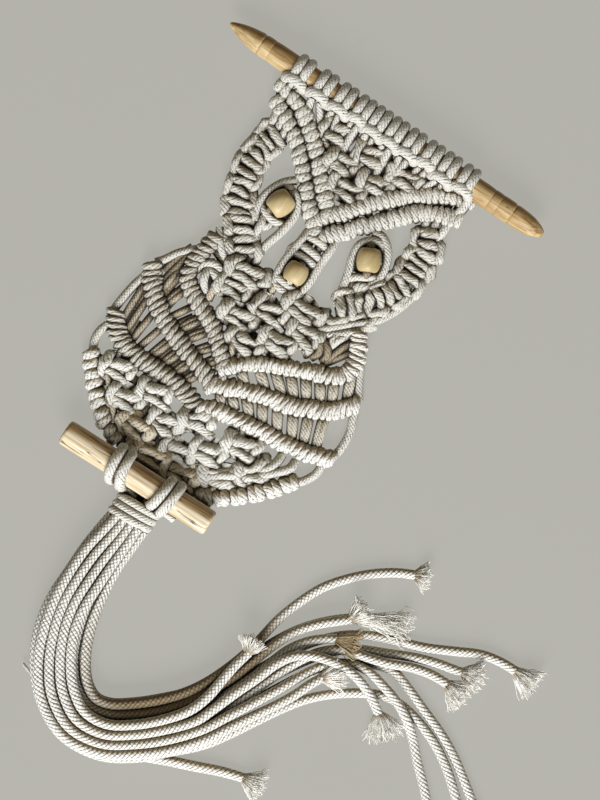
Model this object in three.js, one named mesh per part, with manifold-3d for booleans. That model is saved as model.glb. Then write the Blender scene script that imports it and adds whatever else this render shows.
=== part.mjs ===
// A macrame owl: knotted cotton cord on a turned dowel, lying flat on its back.
// Millimetres, +X along the top dowel, +Y towards the owl's head, +Z out of its face.
import * as THREE from 'three';
import { mergeVertices } from 'three/addons/utils/BufferGeometryUtils.js';
import Module from 'manifold-3d';

const wasm = await Module();
wasm.setup();

// Driving dimensions
const cord = 5;               // braided cotton cord, across
const gap = 0.3;              // between two pieces that touch
const barWide = 8.6;          // a bar of double half hitches, across
const barHigh = 8.8;
const knotWide = 19;          // one square knot on four strands
const knotTall = 12.4;
const knotHigh = 8.6;
const pressed = 0.4;          // how far the lying cloth is pressed flat
const smallest = 0.1;         // facets finer than this are smoothed away after cutting
const tall = 60;              // an upright cutter's height, more than that of any piece
const middle = { x: 0.3, y: 1.49 };   // centre of the outline, so that the origin sits under it

const topDowel = { radius: 6.2, axisY: 126, axisZ: 9.6, tilt: -0.5 };
const footDowel = { radius: 7.3, middleX: -7.5, axisY: -108, axisZ: 12.4, length: 94, tilt: 1.1 };

const wood = { roughness: 0.6, metalness: 0 };
const cotton = { roughness: 0.95, metalness: 0 };
const colours = { cord: 0xe9e7df, dowel: 0xdcc08c, foot: 0xd9bd8a, bead: 0xd8c083 };

// Paths, outlines and rows are [x, y] on the flat, read from the head down.
const bars = {
  brow_right_inner: [[57, 118], [49, 115], [40, 109.5], [31, 103], [22, 94], [13, 84], [6, 75.5], [1.5, 70]],
  brow_left_inner: [[-57, 113.5], [-48, 111], [-40, 106.5], [-30, 99], [-20, 90], [-12, 81.5], [-4, 72.5]],
  brow_right_outer: [[56, 105], [46, 101], [37, 94.5], [28, 84.5], [19, 74.5], [11, 65.5], [3, 57]],
  brow_left_outer: [[-54, 103.5], [-46, 99.5], [-38, 94], [-30, 87], [-22, 78.5], [-14, 70], [-5, 62]],
  wing_right_upper: [[51, 21], [56, 13], [57, 4], [51, -3], [42, -6.5], [32, -10.5], [22, -15], [13, -19.5],
    [6, -24.5], [0, -30.5]],
  wing_left_upper: [[-46, 20], [-47, 10], [-46.5, 1], [-42, -5], [-35, -9.5], [-27, -12.5], [-19, -16.5],
    [-12, -22], [-5, -28.5]],
  wing_right_middle: [[71, -9], [67, -13.5], [60, -19.5], [50, -24.5], [40, -29], [30, -31.5], [20, -34.5],
    [10, -38], [1, -42.5]],
  wing_left_middle: [[-65.5, -7], [-62, -14], [-57, -20], [-50, -25.5], [-42, -30.5], [-33, -34],
    [-24, -36.5], [-14, -38.5], [-4.5, -41.5]],
  wing_right_lower: [[75, -41.5], [66, -44.5], [56, -46.5], [44, -48], [32, -48.7], [20, -50], [9, -52.5],
    [1, -56.5]],
  wing_left_lower: [[-70.5, -44], [-65, -49], [-58, -52.5], [-48, -54], [-38, -54], [-28, -53.5], [-18, -54],
    [-9, -55.8], [-4.5, -57.5]],
  hem_right: [[65, -63], [57.5, -72], [50, -80], [43, -87], [34, -94], [26, -98]],
  hem_left: [[-66.5, -66], [-59.5, -75], [-52, -82.5], [-45, -89], [-37, -94.5], [-30, -97.5]],
};

// Cords that leave a bar and reach the next one: two ends of each, then the loose cord down the wing's edge.
const rungs = {
  wing_right_upper: [[[15, -21], [24, -29]], [[24, -18], [33, -26]], [[32, -15], [39, -24]],
    [[40, -12], [45, -21]], [[47, -9], [53, -18]], [[53, -4], [58, -15]], [[58, 6], [65, -9]]],
  wing_left_upper: [[[-52, -1], [-52, -15]], [[-46, -10], [-48, -20]], [[-37, -15], [-43, -24]],
    [[-29, -17], [-35, -27]], [[-22, -20], [-28, -30]], [[-15, -24], [-20, -31]]],
  wing_right_middle: [[[10, -42], [15, -47]], [[20, -39], [25, -46]], [[28, -37], [33, -45]],
    [[36, -34], [42, -44]], [[44, -31], [51, -43]], [[52, -28], [58, -43]], [[60, -24], [64.5, -41]]],
  wing_left_middle: [[[-63, -18], [-62, -46]], [[-57, -24], [-56, -48]], [[-50, -30], [-52, -49]],
    [[-43, -34], [-46, -49]], [[-35, -37], [-39, -49]], [[-28, -39], [-32, -49]], [[-20, -41], [-24, -49]],
    [[-12, -42], [-15, -50]]],
};
const edgeCords = {
  wing_right_upper: [[57.5, 15], [62.5, 6], [66.5, -1], [70, -6]],
  wing_left_upper: [[-49, 15], [-57, 7], [-62, -1], [-65, -4.5]],
  wing_right_middle: [[71, -12], [75.5, -23], [76.5, -33], [75.5, -38.5]],
  wing_left_middle: [[-66.5, -11], [-70, -20], [-72, -30], [-73, -40]],
  wing_right_lower: [[73, -44], [72.5, -53], [68, -61], [66, -62]],
  wing_left_lower: [[-71.5, -48], [-70.5, -55], [-68.5, -62], [-67, -64]],
};

// Sinnets: square knots tied close behind each other on one pair of fillers.
const sinnets = {
  face_ring_left: [[-48.5, 93], [-50, 83], [-51, 71], [-49.5, 60], [-45.5, 50.5], [-39.5, 42], [-32.5, 33.5],
    [-26, 26.5]],
  face_ring_right: [[51, 93], [54.5, 83], [55.8, 72], [55.3, 62], [51.5, 52], [45.5, 44],
    [38.5, 36.5], [32, 29.5]],
};
const ringFiller = [[62, 43], [56.5, 35.5], [50, 29.5], [43, 24], [35.5, 18.5]];

// Square knots of the nets: a row of the table for each row of knots.
const nets = {
  forehead_net: {
    rows: [
      { y: 109.8, x: [-21.5, 1.5, 24], turn: 0 },
      { y: 97.2, x: [-9.5, 12], turn: 4 },
      { y: 86.8, x: [0.5], turn: 6 },
    ],
    links: [[[-33, 116], [-30, 108]], [[-14, 117], [-14, 103]], [[-8, 115], [-5, 103]], [[9, 117], [10, 103]],
      [[18, 117], [18, 103]], [[36, 116], [31, 112]], [[-42, 116], [-33, 112]], [[-26, 103], [-18, 99]],
      [[27, 105], [20, 101]]],
  },
  breast_net: {
    rows: [
      { y: 18, x: [-21, 18], turn: -2 },
      { y: 7.5, x: [-22.5, 2.5, 25.5], turn: -3 },
      { y: -4, x: [-10.5, 14.5], turn: -4 },
      { y: -13.5, x: [-0.5], turn: -4 },
    ],
    links: [[[-6, 22], [-4, 11]], [[6, 22], [6, 11]], [[-32, 21], [-40, 27]], [[-33, 12], [-38, 4]],
      [[-38, 4], [-32, -4]], [[-31, 16], [-38, 18]], [[33, 14], [40, 19]], [[40, 19], [46, 22]],
      [[35, 8], [45, 8]], [[45, 8], [41, 0]], [[33, 5], [37, -2]], [[-31, 3], [-30, -6]],
      [[-21, 0], [-20, -9]], [[24, 0], [22, -8]], [[-5, -18], [-2, -24]], [[3, -18], [2, -24]]],
  },
  belly_net: {
    rows: [
      { y: -64.5, x: [-50, -25.5, 1, 26, 51], turn: 2 },
      { y: -75, x: [-37.5, -12, 14.5, 39.5], turn: 3 },
      { y: -85, x: [-24, 3, 27.5], turn: 3 },
      { y: -94, x: [-9, 11], turn: 0 },
    ],
    links: [[[-60, -60], [-66, -52]], [[60, -58], [66, -50]], [[1, -56], [1, -62]], [[-22, -92], [-22, -97]],
      [[22, -90], [22, -96]], [[-3, -96], [2, -99]], [[-17, -94], [-22, -97]], [[19, -94], [24, -97]],
      [[-36, -60], [-39, -69]], [[38, -58], [37, -69]], [[14, -58], [14, -69]], [[-13, -60], [-12, -69]],
      [[-52, -71], [-46, -77]], [[51, -67], [46, -74]], [[38, -80], [32, -86]], [[-35, -80], [-30, -86]]],
  },
};

// Barrel beads: across, along the bore, and the bore's direction from +Y.
const beads = {
  bead_eye_left: { x: -26, y: 60.3, across: 15.4, along: 14.4, turn: -20 },
  bead_eye_right: { x: 32, y: 61, across: 14.4, along: 13.6, turn: 26 },
  bead_beak: { x: 2.6, y: 33, across: 13.8, along: 12, turn: 4 },
};
const beadAxisZ = 7.9;
const boreSlack = 0.3;        // the bore is this much wider than the cord, all round

// Cords of the two eyes: the left and right side of each loop, then the crossing below its bead.
const eyeLoops = {
  eye_loop_left: {
    bead: 'bead_eye_left',
    cords: [
      [[-26, 73.5], [-32, 69.5], [-36, 62], [-37, 55], [-35, 48], [-31, 43.5]],
      [[-27, 73], [-19.5, 70], [-15, 63], [-14.5, 55], [-17, 45], [-19.5, 35]],
      [[-36, 50], [-30, 47.5], [-18, 49]],
      [[-29, 48], [-28, 41]],
    ],
  },
  eye_loop_right: {
    bead: 'bead_eye_right',
    cords: [
      [[30, 77], [35, 73.5], [39.5, 67], [42, 59], [41.5, 53], [38, 49]],
      [[32, 75], [25, 71], [21.5, 65], [22, 57], [25, 47], [29, 37]],
      [[24, 49.5], [33, 48], [41, 53]],
      [[35, 48], [33, 41]],
    ],
  },
};
const loopHigh = 8;
const beakKnots = [[3.8, 49.5], [3.6, 43]];
const beakSides = [
  [[-4, 48], [-6.6, 40], [-6.7, 32], [-4, 24.5]],
  [[11, 48], [12, 40], [11.8, 32], [9, 24.5]],
  [[-5.5, 24.6], [2.5, 24.2], [10.5, 24.6]],
];

// Heading: middles of the ten lark's head knots along the top dowel.
const headings = [-55.5, -40.7, -27.7, -15.8, -5.2, 5.7, 17, 29, 40.2, 52.4];
const headingWide = 10.4;
const headingThick = 3.5;     // cord wound on the dowel, pressed flat
const headingBar = { deep: 6.4, high: 14 };

// Doubled cords over the foot dowel: where each starts behind its upper side, and ends below it.
const feet = {
  foot_left: [[-23.8, -19.5], [-17.4, -12.6]],
  foot_right: [[14.4, 9.5], [8, 2.6]],
};
const legs = [[-16, -7.5], [-8, -3], [0, 1.5], [8, 6], [16, 10.5]];
const legTop = -97.6;
const wrapping = { x: 1.5, top: -120.4, foot: -133.2, wide: 26.6, high: 17.6, turns: 4 };

// Tail: every strand runs along this line in a lane and a layer of the bundle, then on its own points.
const bundle = [
  { x: 1.1, y: -133.9, pitch: 5.34 }, { x: 0.8, y: -142, pitch: 5.36 }, { x: 0.3, y: -155, pitch: 5.4 },
  { x: 1, y: -170, pitch: 5.5 }, { x: 2.5, y: -185, pitch: 5.7 }, { x: 6.5, y: -200, pitch: 5.9 },
  { x: 13.5, y: -214, pitch: 6.1 }, { x: 24, y: -226, pitch: 6.1 }, { x: 38, y: -233, pitch: 6.0 },
  { x: 53, y: -231, pitch: 5.9 }, { x: 66, y: -222.5, pitch: 5.9 }, { x: 78, y: -211, pitch: 5.9 },
];
const layerZ = { low: 2.5, middle: 7.8, high: 13.1 };
const strands = {
  strand_a: { lanes: [-2, -2], layer: 'middle', free: [
    [79.5, -191.5, 7.8], [86, -180.5, 7.8], [91, -168, 7.8], [95, -155, 7.8], [97, -146, 5.5],
    [98.2, -139, 3], [99.6, -131, 2.5], [103.5, -118, 2.5], [110, -103, 2.5], [118.5, -91.5, 2.5], [129, -81, 2.5],
    [140, -73, 2.5], [149, -68.5, 2.5]] },
  strand_b: { lanes: [-1.5, -0.1], layer: 'high', free: [
    [86.5, -198, 13.1], [90.6, -186.5, 13.1], [92, -176, 12.9], [93.6, -164, 13.1], [95.8, -154, 12.4]] },
  strand_c: { lanes: [-1, -1], layer: 'middle', free: [
    [84.5, -194, 7.8], [91, -181, 7.8], [96.5, -170, 7.8], [100.5, -158, 7.8], [103.5, -148.5, 7.8],
    [106.5, -140, 7.8], [111.5, -130, 7.8], [119, -120.5, 7.8], [127, -113, 7.8], [133, -108, 7.8]] },
  strand_d: { lanes: [-2, -2], layer: 'low', free: [
    [85, -186, 2.5], [92, -171, 2.5], [99, -155, 2.5], [105.5, -140, 2.5], [113, -127.5, 2.5],
    [123, -116, 2.5], [133, -107.5, 2.5], [139, -103.5, 2.5]] },
  strand_e: { lanes: [0, 0], layer: 'middle', free: [
    [95.5, -190, 7.8], [100.5, -177, 7.8], [105.5, -164, 7.8], [109.5, -151, 7.8], [113.5, -140.5, 7.8],
    [119.5, -131.5, 7.8], [126.5, -125, 7.8], [132, -121.5, 7.6]] },
  strand_f: { lanes: [-1, -1], layer: 'low', free: [
    [91, -188, 2.5], [99, -174, 2.5], [106.5, -158, 2.5], [114.5, -142.5, 2.5], [124, -128.5, 2.5],
    [135, -117.5, 2.5], [147, -110, 2.5], [160, -104.5, 2.5], [175, -99, 2.5], [190, -91.5, 2.5],
    [203, -85, 2.5], [214, -82.5, 2.5], [224, -82, 2.5]] },
  strand_g: { lanes: [0, 0], layer: 'low', free: [
    [97.5, -190, 2.5], [106, -176, 2.5], [113.5, -161, 2.5], [121, -147, 2.5], [131, -132.5, 2.5],
    [141, -122.8, 2.5], [151, -117, 2.5], [162, -112, 2.5], [174, -106.5, 2.5], [187, -102, 2.5],
    [200, -99, 2.5]] },
  strand_h: { lanes: [1, 1], layer: 'middle', free: [
    [102, -190, 7.8], [107, -178, 7.8], [112, -165, 7.8], [117, -152.5, 7.8], [122.5, -141, 7.7],
    [129.5, -131.2, 7.8], [139, -124.2, 7.9], [151, -120.8, 7.9], [163, -117, 7.9], [175, -112, 4.6],
    [187, -109.2, 2.5], [197, -108.7, 2.5]] },
  strand_i: { lanes: [-0.5, 0.85], layer: 'high', free: [
    [92.5, -201, 13.1], [97, -190, 13.1], [102, -176.5, 13.1], [107.5, -163, 13.1], [111.8, -151, 13.1],
    [117, -142.5, 13.2], [124.5, -136.8, 13.2], [134, -133.3, 13.2], [146, -131.8, 12.9],
    [156, -133.6, 11.2], [166, -138, 8.6], [174, -143, 6]] },
  strand_j: { lanes: [1.5, 2.7], layer: 'high', free: [
    [102, -207, 13.1], [111.5, -191, 13.1], [118, -180, 13.1], [124, -170, 12.5], [129.3, -160, 12],
    [133.2, -150.5, 11], [137, -143, 9.5]] },
  strand_k: { lanes: [2, 2], layer: 'low', until: 10, free: [
    [74, -236.5, 2.5], [90, -229.5, 2.5], [105, -223.5, 2.5], [120, -217.3, 2.5],
    [132, -213.5, 2.5]] },
  strand_l: { lanes: [0.5, 1.8], layer: 'high', free: [
    [98, -203, 13.1], [105.3, -190, 13.1], [111.5, -179, 13.1], [117.3, -168, 12.5], [122.8, -157.5, 11],
    [127.5, -148, 8.8], [132.5, -140, 7.7], [139, -132.8, 7.6], [148, -127.8, 7.9], [158, -126.8, 7.9],
    [168, -128.8, 7.9], [178, -131.7, 7.95], [188, -137, 6.6], [197, -144, 3], [206, -153, 2.5],
    [217, -163, 2.5], [226, -172, 2.5]] },
  strand_m: { lanes: [2, 2.9], layer: 'middle', free: [
    [103, -210, 7.6], [112, -197, 7], [119.5, -184.5, 6], [127.5, -171.5, 4], [135.5, -160, 2.7],
    [144, -151, 2.5], [153, -143.7, 2.5], [162, -137.8, 2.5], [171, -133.6, 2.5], [181, -132.3, 2.5],
    [194, -134.5, 2.5], [208, -139.5, 2.5], [221, -147, 2.5], [233, -156.5, 2.5], [243, -165, 2.5]] },
  strand_n: { lanes: [1, 1], layer: 'low', free: [
    [104, -190, 2.5], [113, -176, 2.5], [121, -161, 2.5], [129, -147, 2.5], [138, -136.5, 2.5],
    [148, -128, 2.5], [158, -121.9, 2.5], [168, -119.3, 2.5], [180, -122.5, 2.5], [194, -127.8, 2.5],
    [208, -133, 2.5], [221, -139.5, 2.5], [233, -147.5, 2.5], [246, -156.5, 2.5]] },
};
const strandStep = 14;        // length of one straight piece of a tail strand

// ---- geometry helpers ----

const radians = THREE.MathUtils.degToRad;

// Closed three.js geometry to a manifold-3d solid, for cutting and joining.
function toSolid(geometry) {
  const plain = geometry.clone();
  plain.deleteAttribute('normal');
  plain.deleteAttribute('uv');
  const merged = mergeVertices(plain, 1e-4);
  return new wasm.Manifold(new wasm.Mesh({
    numProp: 3,
    vertProperties: new Float32Array(merged.attributes.position.array),
    triVerts: new Uint32Array(merged.index.array),
  }));
}

function toGeometry(solid) {
  const made = solid.simplify(smallest).getMesh();
  const geometry = new THREE.BufferGeometry();
  geometry.setAttribute('position', new THREE.BufferAttribute(new Float32Array(made.vertProperties), 3));
  geometry.setIndex(new THREE.BufferAttribute(new Uint32Array(made.triVerts), 1));
  return geometry;
}

function lineThrough(points, z = 0) {
  const places = points.map((point) => new THREE.Vector3(point[0], point[1], point[2] ?? z));
  return new THREE.CatmullRomCurve3(places, false, 'centripetal');
}

// A round or flattened section swept along a flat path, its middle at height z.
function sweep(points, { wide, high, z, step = 10, sides = 6 }) {
  const curve = lineThrough(points, z);
  const corner = 1 / Math.cos(Math.PI / sides);
  const section = new THREE.Shape();
  for (let side = 0; side < sides; side += 1) {
    const angle = 2 * Math.PI * (side + 0.5) / sides;
    const up = Math.sin(angle) * corner * high / 2;
    const across = Math.cos(angle) * corner * wide / 2;
    if (side === 0) section.moveTo(-up, across);
    else section.lineTo(-up, across);
  }
  const steps = Math.max(1, Math.round(curve.getLength() / step));
  return toSolid(new THREE.ExtrudeGeometry(section, { steps, extrudePath: curve, bevelEnabled: false }));
}

// The upright space over and under a flat path, to cut what comes beside it.
function clearance(points, wide, step = 10) {
  return sweep(points, { wide: (wide + 2 * gap) * Math.SQRT2, high: tall, z: 0, step, sides: 4 });
}

// A short straight cord between two knots, and a longer one that bends: both with few facets.
const shortCord = { wide: cord, high: cord, z: cord / 2 + 1, step: 30, sides: 5 };
const edgeCord = { wide: cord, high: cord, z: cord / 2 + 0.6, step: 10, sides: 5 };
const faceCord = { wide: cord, high: loopHigh, z: loopHigh / 2 - pressed, step: 9, sides: 5 };
const bar = { wide: barWide, high: barHigh, z: barHigh / 2 - pressed };

// A cord of round section along a line in space.
function cordAlong(points, step) {
  const curve = lineThrough(points);
  const section = new THREE.Shape();
  section.absarc(0, 0, cord / 2, 0, 2 * Math.PI, false);
  const steps = Math.round(curve.getLength() / step);
  return new THREE.ExtrudeGeometry(section, {
    steps, extrudePath: curve, bevelEnabled: false, curveSegments: 4,
  });
}

// One square knot: a low block with its upper edges sloped.
function knotBlock(x, y, turn) {
  const slope = 2.2;
  const halfWide = knotWide / 2 - slope;
  const halfTall = knotTall / 2 - slope;
  const outline = new THREE.Shape([
    new THREE.Vector2(-halfWide, -halfTall), new THREE.Vector2(halfWide, -halfTall),
    new THREE.Vector2(halfWide, halfTall), new THREE.Vector2(-halfWide, halfTall),
  ]);
  const block = new THREE.ExtrudeGeometry(outline, {
    depth: knotHigh - slope, bevelThickness: slope, bevelSize: slope, bevelSegments: 1, steps: 1,
  });
  block.rotateZ(radians(turn));
  block.translate(x, y, 0);
  return toSolid(block);
}

function box(x, y, z, wide, deep, high, turn = 0) {
  const block = new THREE.BoxGeometry(wide, deep, high);
  block.rotateZ(radians(turn));
  block.translate(x, y, z);
  return toSolid(block);
}

const underfoot = box(0, 0, -tall / 2, 800, 800, tall);

function join(solids) {
  return solids.reduce((all, next) => all.add(next));
}

// Largest piece that is left when the floor and the neighbours' room have been taken away.
function trimmed(solid, cutters) {
  const left = cutters.reduce((kept, cutter) => kept.subtract(cutter), solid.subtract(underfoot));
  return left.decompose().reduce((most, next) => (next.volume() > most.volume() ? next : most));
}

const owl = new THREE.Group();
owl.name = 'macrame_owl';
owl.position.set(-middle.x, -middle.y, 0);

function add(name, geometry, colour, finish) {
  const mesh = new THREE.Mesh(geometry, new THREE.MeshStandardMaterial({ color: colour, ...finish }));
  mesh.name = name;
  owl.add(mesh);
  return mesh;
}

function addCloth(name, solid, cutters) {
  add(name, toGeometry(trimmed(solid, cutters)), colours.cord, cotton);
}

// ---- dowels and beads ----

// A lathe turned from rows of place along the axis and radius.
function turned(rows, sides) {
  return new THREE.LatheGeometry(rows.map(([along, radius]) => new THREE.Vector2(radius, along)), sides);
}

function turnedDowel() {
  const lathe = turned([
    [-103.2, 0], [-103.2, 0.9], [-98, 3.2], [-92, 4.9], [-83.2, 6.1], [-82.4, 5.5], [-81.6, topDowel.radius],
    [81.6, topDowel.radius], [82.4, 5.5], [83.2, 6.1], [90, 5.9], [95, 5.2], [99, 3.9], [102, 2.4],
    [103.2, 1.4], [103.2, 0]], 16);
  lathe.rotateZ(-Math.PI / 2);
  const mesh = add('top_dowel', lathe, colours.dowel, wood);
  mesh.position.set(middle.x, topDowel.axisY, topDowel.axisZ);
  mesh.rotation.z = radians(topDowel.tilt);
}

function sawnDowel() {
  const { radius, length } = footDowel;
  const edge = 0.8;
  const half = length / 2;
  const lathe = turned([
    [-half, 0], [-half, radius - edge], [edge - half, radius], [half - edge, radius], [half, radius - edge],
    [half, 0]], 16);
  lathe.rotateZ(-Math.PI / 2);
  const mesh = add('foot_dowel', lathe, colours.foot, wood);
  mesh.position.set(footDowel.middleX, footDowel.axisY, footDowel.axisZ);
  mesh.rotation.z = radians(footDowel.tilt);
}

// A barrel bead with a through bore for the doubled cord.
function bead(name, { x, y, across, along, turn }) {
  const half = along / 2;
  const bore = cord / 2 + boreSlack;
  const rim = across * 0.34;
  const shoulder = across * 0.45;
  const lathe = turned([
    [-half, bore], [-half, rim], [-half * 0.62, shoulder], [0, across / 2], [half * 0.62, shoulder],
    [half, rim], [half, bore], [-half, bore]], 14);
  const mesh = add(name, lathe, colours.bead, wood);
  mesh.position.set(x, y, beadAxisZ);
  mesh.rotation.z = radians(turn);
}

function beadCylinder({ x, y, turn }, radius, length, sides) {
  const cylinder = new THREE.CylinderGeometry(radius, radius, length, sides);
  cylinder.rotateZ(radians(turn));
  cylinder.translate(x, y, beadAxisZ);
  return toSolid(cylinder);
}

// Cords round a bead: cut clear of it, with the cord through its bore joined to them at both ends.
function strungOn(held, cords) {
  const room = beadCylinder(held, held.across / 2 + gap, held.along + 2 * gap, 12);
  const core = beadCylinder(held, cord / 2, held.along + 9, 6);
  return cords.subtract(room).add(core);
}

turnedDowel();
sawnDowel();
for (const [name, size] of Object.entries(beads)) bead(name, size);

// ---- heading: lark's head knots on the top dowel ----

function larksHead(centre, number) {
  const { radius, axisZ, axisY, tilt } = topDowel;
  const y = axisY + Math.tan(radians(tilt)) * centre;
  const outside = radius + headingThick;
  const ring = new THREE.CylinderGeometry(outside, outside, headingWide, 12);
  const bore = new THREE.CylinderGeometry(radius + gap, radius + gap, headingWide + 4, 12);
  ring.rotateZ(Math.PI / 2);
  bore.rotateZ(Math.PI / 2 + radians(tilt));
  ring.translate(centre, y, axisZ);
  bore.translate(centre, y, axisZ);
  const { deep, high } = headingBar;
  const crossing = box(centre, y - deep, high / 2, headingWide, deep, high);
  const wound = toSolid(ring).add(crossing).subtract(toSolid(bore));
  addCloth(`lark_head_${String(number).padStart(2, '0')}`, wound, []);
  return box(centre, y, 0, headingWide + 2 * gap, 2 * (deep * 1.5 + gap), tall);
}

const headingRooms = headings.map((centre, index) => larksHead(centre, index + 1));

// ---- bars with the cords that leave them ----

const roomRadius = footDowel.radius + gap;
const footRoom = new THREE.CylinderGeometry(roomRadius, roomRadius, footDowel.length + 2, 16);
footRoom.rotateZ(Math.PI / 2 + radians(footDowel.tilt));
footRoom.translate(footDowel.middleX, footDowel.axisY, footDowel.axisZ);
const dowelRoom = toSolid(footRoom);

const barRoom = {};
for (const [name, path] of Object.entries(bars)) barRoom[name] = clearance(path, barWide);

Object.entries(bars).forEach(([name, path], index) => {
  const parts = [sweep(path, bar)];
  for (const rung of rungs[name] ?? []) parts.push(sweep(rung, shortCord));
  if (edgeCords[name]) parts.push(sweep(edgeCords[name], edgeCord));
  const others = Object.keys(bars).filter((key, place) => (
    place < index || (place > index && edgeCords[name])));
  addCloth(name, join(parts), [...headingRooms, dowelRoom, ...others.map((key) => barRoom[key])]);
});
const barRooms = [...headingRooms, ...Object.values(barRoom)];

// ---- face: ring sinnets, eye loops and beak ----

// Places of square knots set along a path, each turned to lie across it.
function knotPlaces(path) {
  const curve = lineThrough(path);
  const count = Math.round(curve.getLength() / (knotTall - 1));
  return Array.from({ length: count }, (_, index) => {
    const along = (index + 0.5) / count;
    const { x, y } = curve.getPointAt(along);
    const tangent = curve.getTangentAt(along);
    return [x, y, THREE.MathUtils.radToDeg(Math.atan2(tangent.y, tangent.x)) + 90];
  });
}

const faceRooms = [];
for (const [name, path] of Object.entries(sinnets)) {
  const places = knotPlaces(path);
  addCloth(name, join(places.map((place) => knotBlock(...place))), barRooms);
  faceRooms.push(join(places.map(([x, y, turn]) => (
    box(x, y, 0, knotWide + 2 * gap, knotTall + 2 * gap, tall, turn)))));
}
addCloth('ring_filler', sweep(ringFiller, { wide: cord, high: cord, z: cord / 2 - pressed + 2 }),
  [...barRooms, ...faceRooms]);
faceRooms.push(clearance(ringFiller, cord));

for (const [name, { bead: held, cords }] of Object.entries(eyeLoops)) {
  const loop = join(cords.map((path) => sweep(path, faceCord)));
  addCloth(name, strungOn(beads[held], loop), [...barRooms, ...faceRooms]);
}

const beak = join([
  ...beakKnots.map(([x, y]) => knotBlock(x, y, 0)),
  ...beakSides.map((path) => sweep(path, faceCord)),
]);
addCloth('beak_sinnet', strungOn(beads.bead_beak, beak), [...barRooms, ...faceRooms]);
faceRooms.push(clearance([[2.5, 54], [2.5, 20.5]], knotWide + 4, 40));

// ---- nets of square knots ----

const legRoom = box(0, legTop - 10, 0, 60, 20, tall);
const wrappingRoom = box(wrapping.x, wrapping.top + gap - 10, 0, 60, 20, tall);

for (const [name, { rows, links }] of Object.entries(nets)) {
  const knots = rows.flatMap(({ y, x, turn }) => x.map((place) => knotBlock(place, y, turn)));
  const cords = links.map((path) => sweep(path, shortCord));
  addCloth(name, join([...knots, ...cords]), [...barRooms, ...faceRooms, dowelRoom, legRoom]);
}

// ---- feet, legs and wrapping ----

// A cord over the foot dowel: up behind it, over its top and down its lower side.
function footCord([fromX, toX]) {
  const radius = footDowel.radius + cord / 2 + 3 * gap;
  const points = [];
  for (let angle = 160; angle >= -20; angle -= 20) {
    const share = (160 - angle) / 180;
    points.push([fromX + (toX - fromX) * share ** 2, footDowel.axisY - radius * Math.cos(radians(angle)),
      footDowel.axisZ + radius * Math.sin(radians(angle))]);
  }
  return toSolid(cordAlong(points, 4.5));
}

for (const [name, cords] of Object.entries(feet)) {
  addCloth(name, join(cords.map(footCord)), [...barRooms, wrappingRoom]);
}

const legCord = { wide: cord, high: cord, z: cord / 2 - pressed, step: 12 };
const legSolid = join(legs.map(([fromX, toX]) => (
  sweep([[fromX, legTop - 1.5], [fromX * 0.8, -106], [toX, wrapping.top - 2]], legCord))));
addCloth('legs', legSolid, [dowelRoom, wrappingRoom, ...barRooms]);

// Turns of one strand round the gathered cords, as a ribbed barrel pressed flat underneath.
function wrappingTurns() {
  const { x, top, foot, wide, high, turns } = wrapping;
  const waist = 0.93;
  const turnTall = (top - foot) / turns;
  const rows = [[foot, 0]];
  for (let turn = 0; turn < turns; turn += 1) {
    const start = foot + turn * turnTall;
    rows.push([start, waist], [start + turnTall / 2, 1]);
  }
  rows.push([top, waist], [top, 0]);
  const barrel = turned(rows, 14);
  barrel.scale(wide / 2, 1, high / 2);
  barrel.translate(x, 0, high / 2 - pressed);
  addCloth('gathering_wrap', toSolid(barrel), []);
}

wrappingTurns();

// ---- tail ----

// The strand's whole line: its lane of the bundle, then its own points.
function strandPoints({ lanes, layer, until = bundle.length, free }) {
  const places = bundle.map((row, index) => {
    const before = bundle[Math.max(index - 1, 0)];
    const after = bundle[Math.min(index + 1, bundle.length - 1)];
    const run = new THREE.Vector2(after.x - before.x, after.y - before.y).normalize();
    const lane = THREE.MathUtils.lerp(lanes[0], lanes[1], index / (bundle.length - 1));
    return [row.x + run.y * lane * row.pitch, row.y - run.x * lane * row.pitch, layerZ[layer]];
  });
  return [...places.slice(0, until), ...free];
}

for (const [name, strand] of Object.entries(strands)) {
  add(name, cordAlong(strandPoints(strand), strandStep), colours.cord, cotton);
}

export default owl;
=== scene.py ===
import math
from functools import partial

import bmesh
import bpy
from mathutils import Matrix, Vector


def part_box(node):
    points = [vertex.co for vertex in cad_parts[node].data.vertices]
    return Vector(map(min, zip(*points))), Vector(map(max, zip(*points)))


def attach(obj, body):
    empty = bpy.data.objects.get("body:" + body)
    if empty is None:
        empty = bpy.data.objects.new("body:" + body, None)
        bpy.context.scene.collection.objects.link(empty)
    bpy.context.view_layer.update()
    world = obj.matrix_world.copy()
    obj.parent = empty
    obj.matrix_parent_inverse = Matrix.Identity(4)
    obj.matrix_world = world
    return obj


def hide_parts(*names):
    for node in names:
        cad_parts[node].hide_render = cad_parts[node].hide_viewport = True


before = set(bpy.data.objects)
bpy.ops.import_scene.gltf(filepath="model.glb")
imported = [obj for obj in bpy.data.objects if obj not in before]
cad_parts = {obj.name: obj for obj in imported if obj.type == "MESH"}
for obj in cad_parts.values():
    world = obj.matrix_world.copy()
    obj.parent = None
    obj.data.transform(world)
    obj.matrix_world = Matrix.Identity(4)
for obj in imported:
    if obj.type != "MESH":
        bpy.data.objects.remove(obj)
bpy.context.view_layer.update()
print("frame loaded")

# Tables are in millimetres on the flat: x along the top dowel, y towards the head, z off the table.
middle = {"x": 0.3, "y": 1.49}     # where the frame's origin lies in the tables


def at(x, y, z):
    return Vector(((x - middle["x"]) / 1000, (y - middle["y"]) / 1000, z / 1000))


def linear(hexColour):
    parts = [int(hexColour[place:place + 2], 16) / 255 for place in (1, 3, 5)]
    return tuple(c / 12.92 if c <= 0.04045 else ((c + 0.055) / 1.055) ** 2.4 for c in parts) + (1.0,)


def linkObject(name, data):
    thing = bpy.data.objects.new(name, data)
    bpy.context.scene.collection.objects.link(thing)
    return thing


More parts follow.
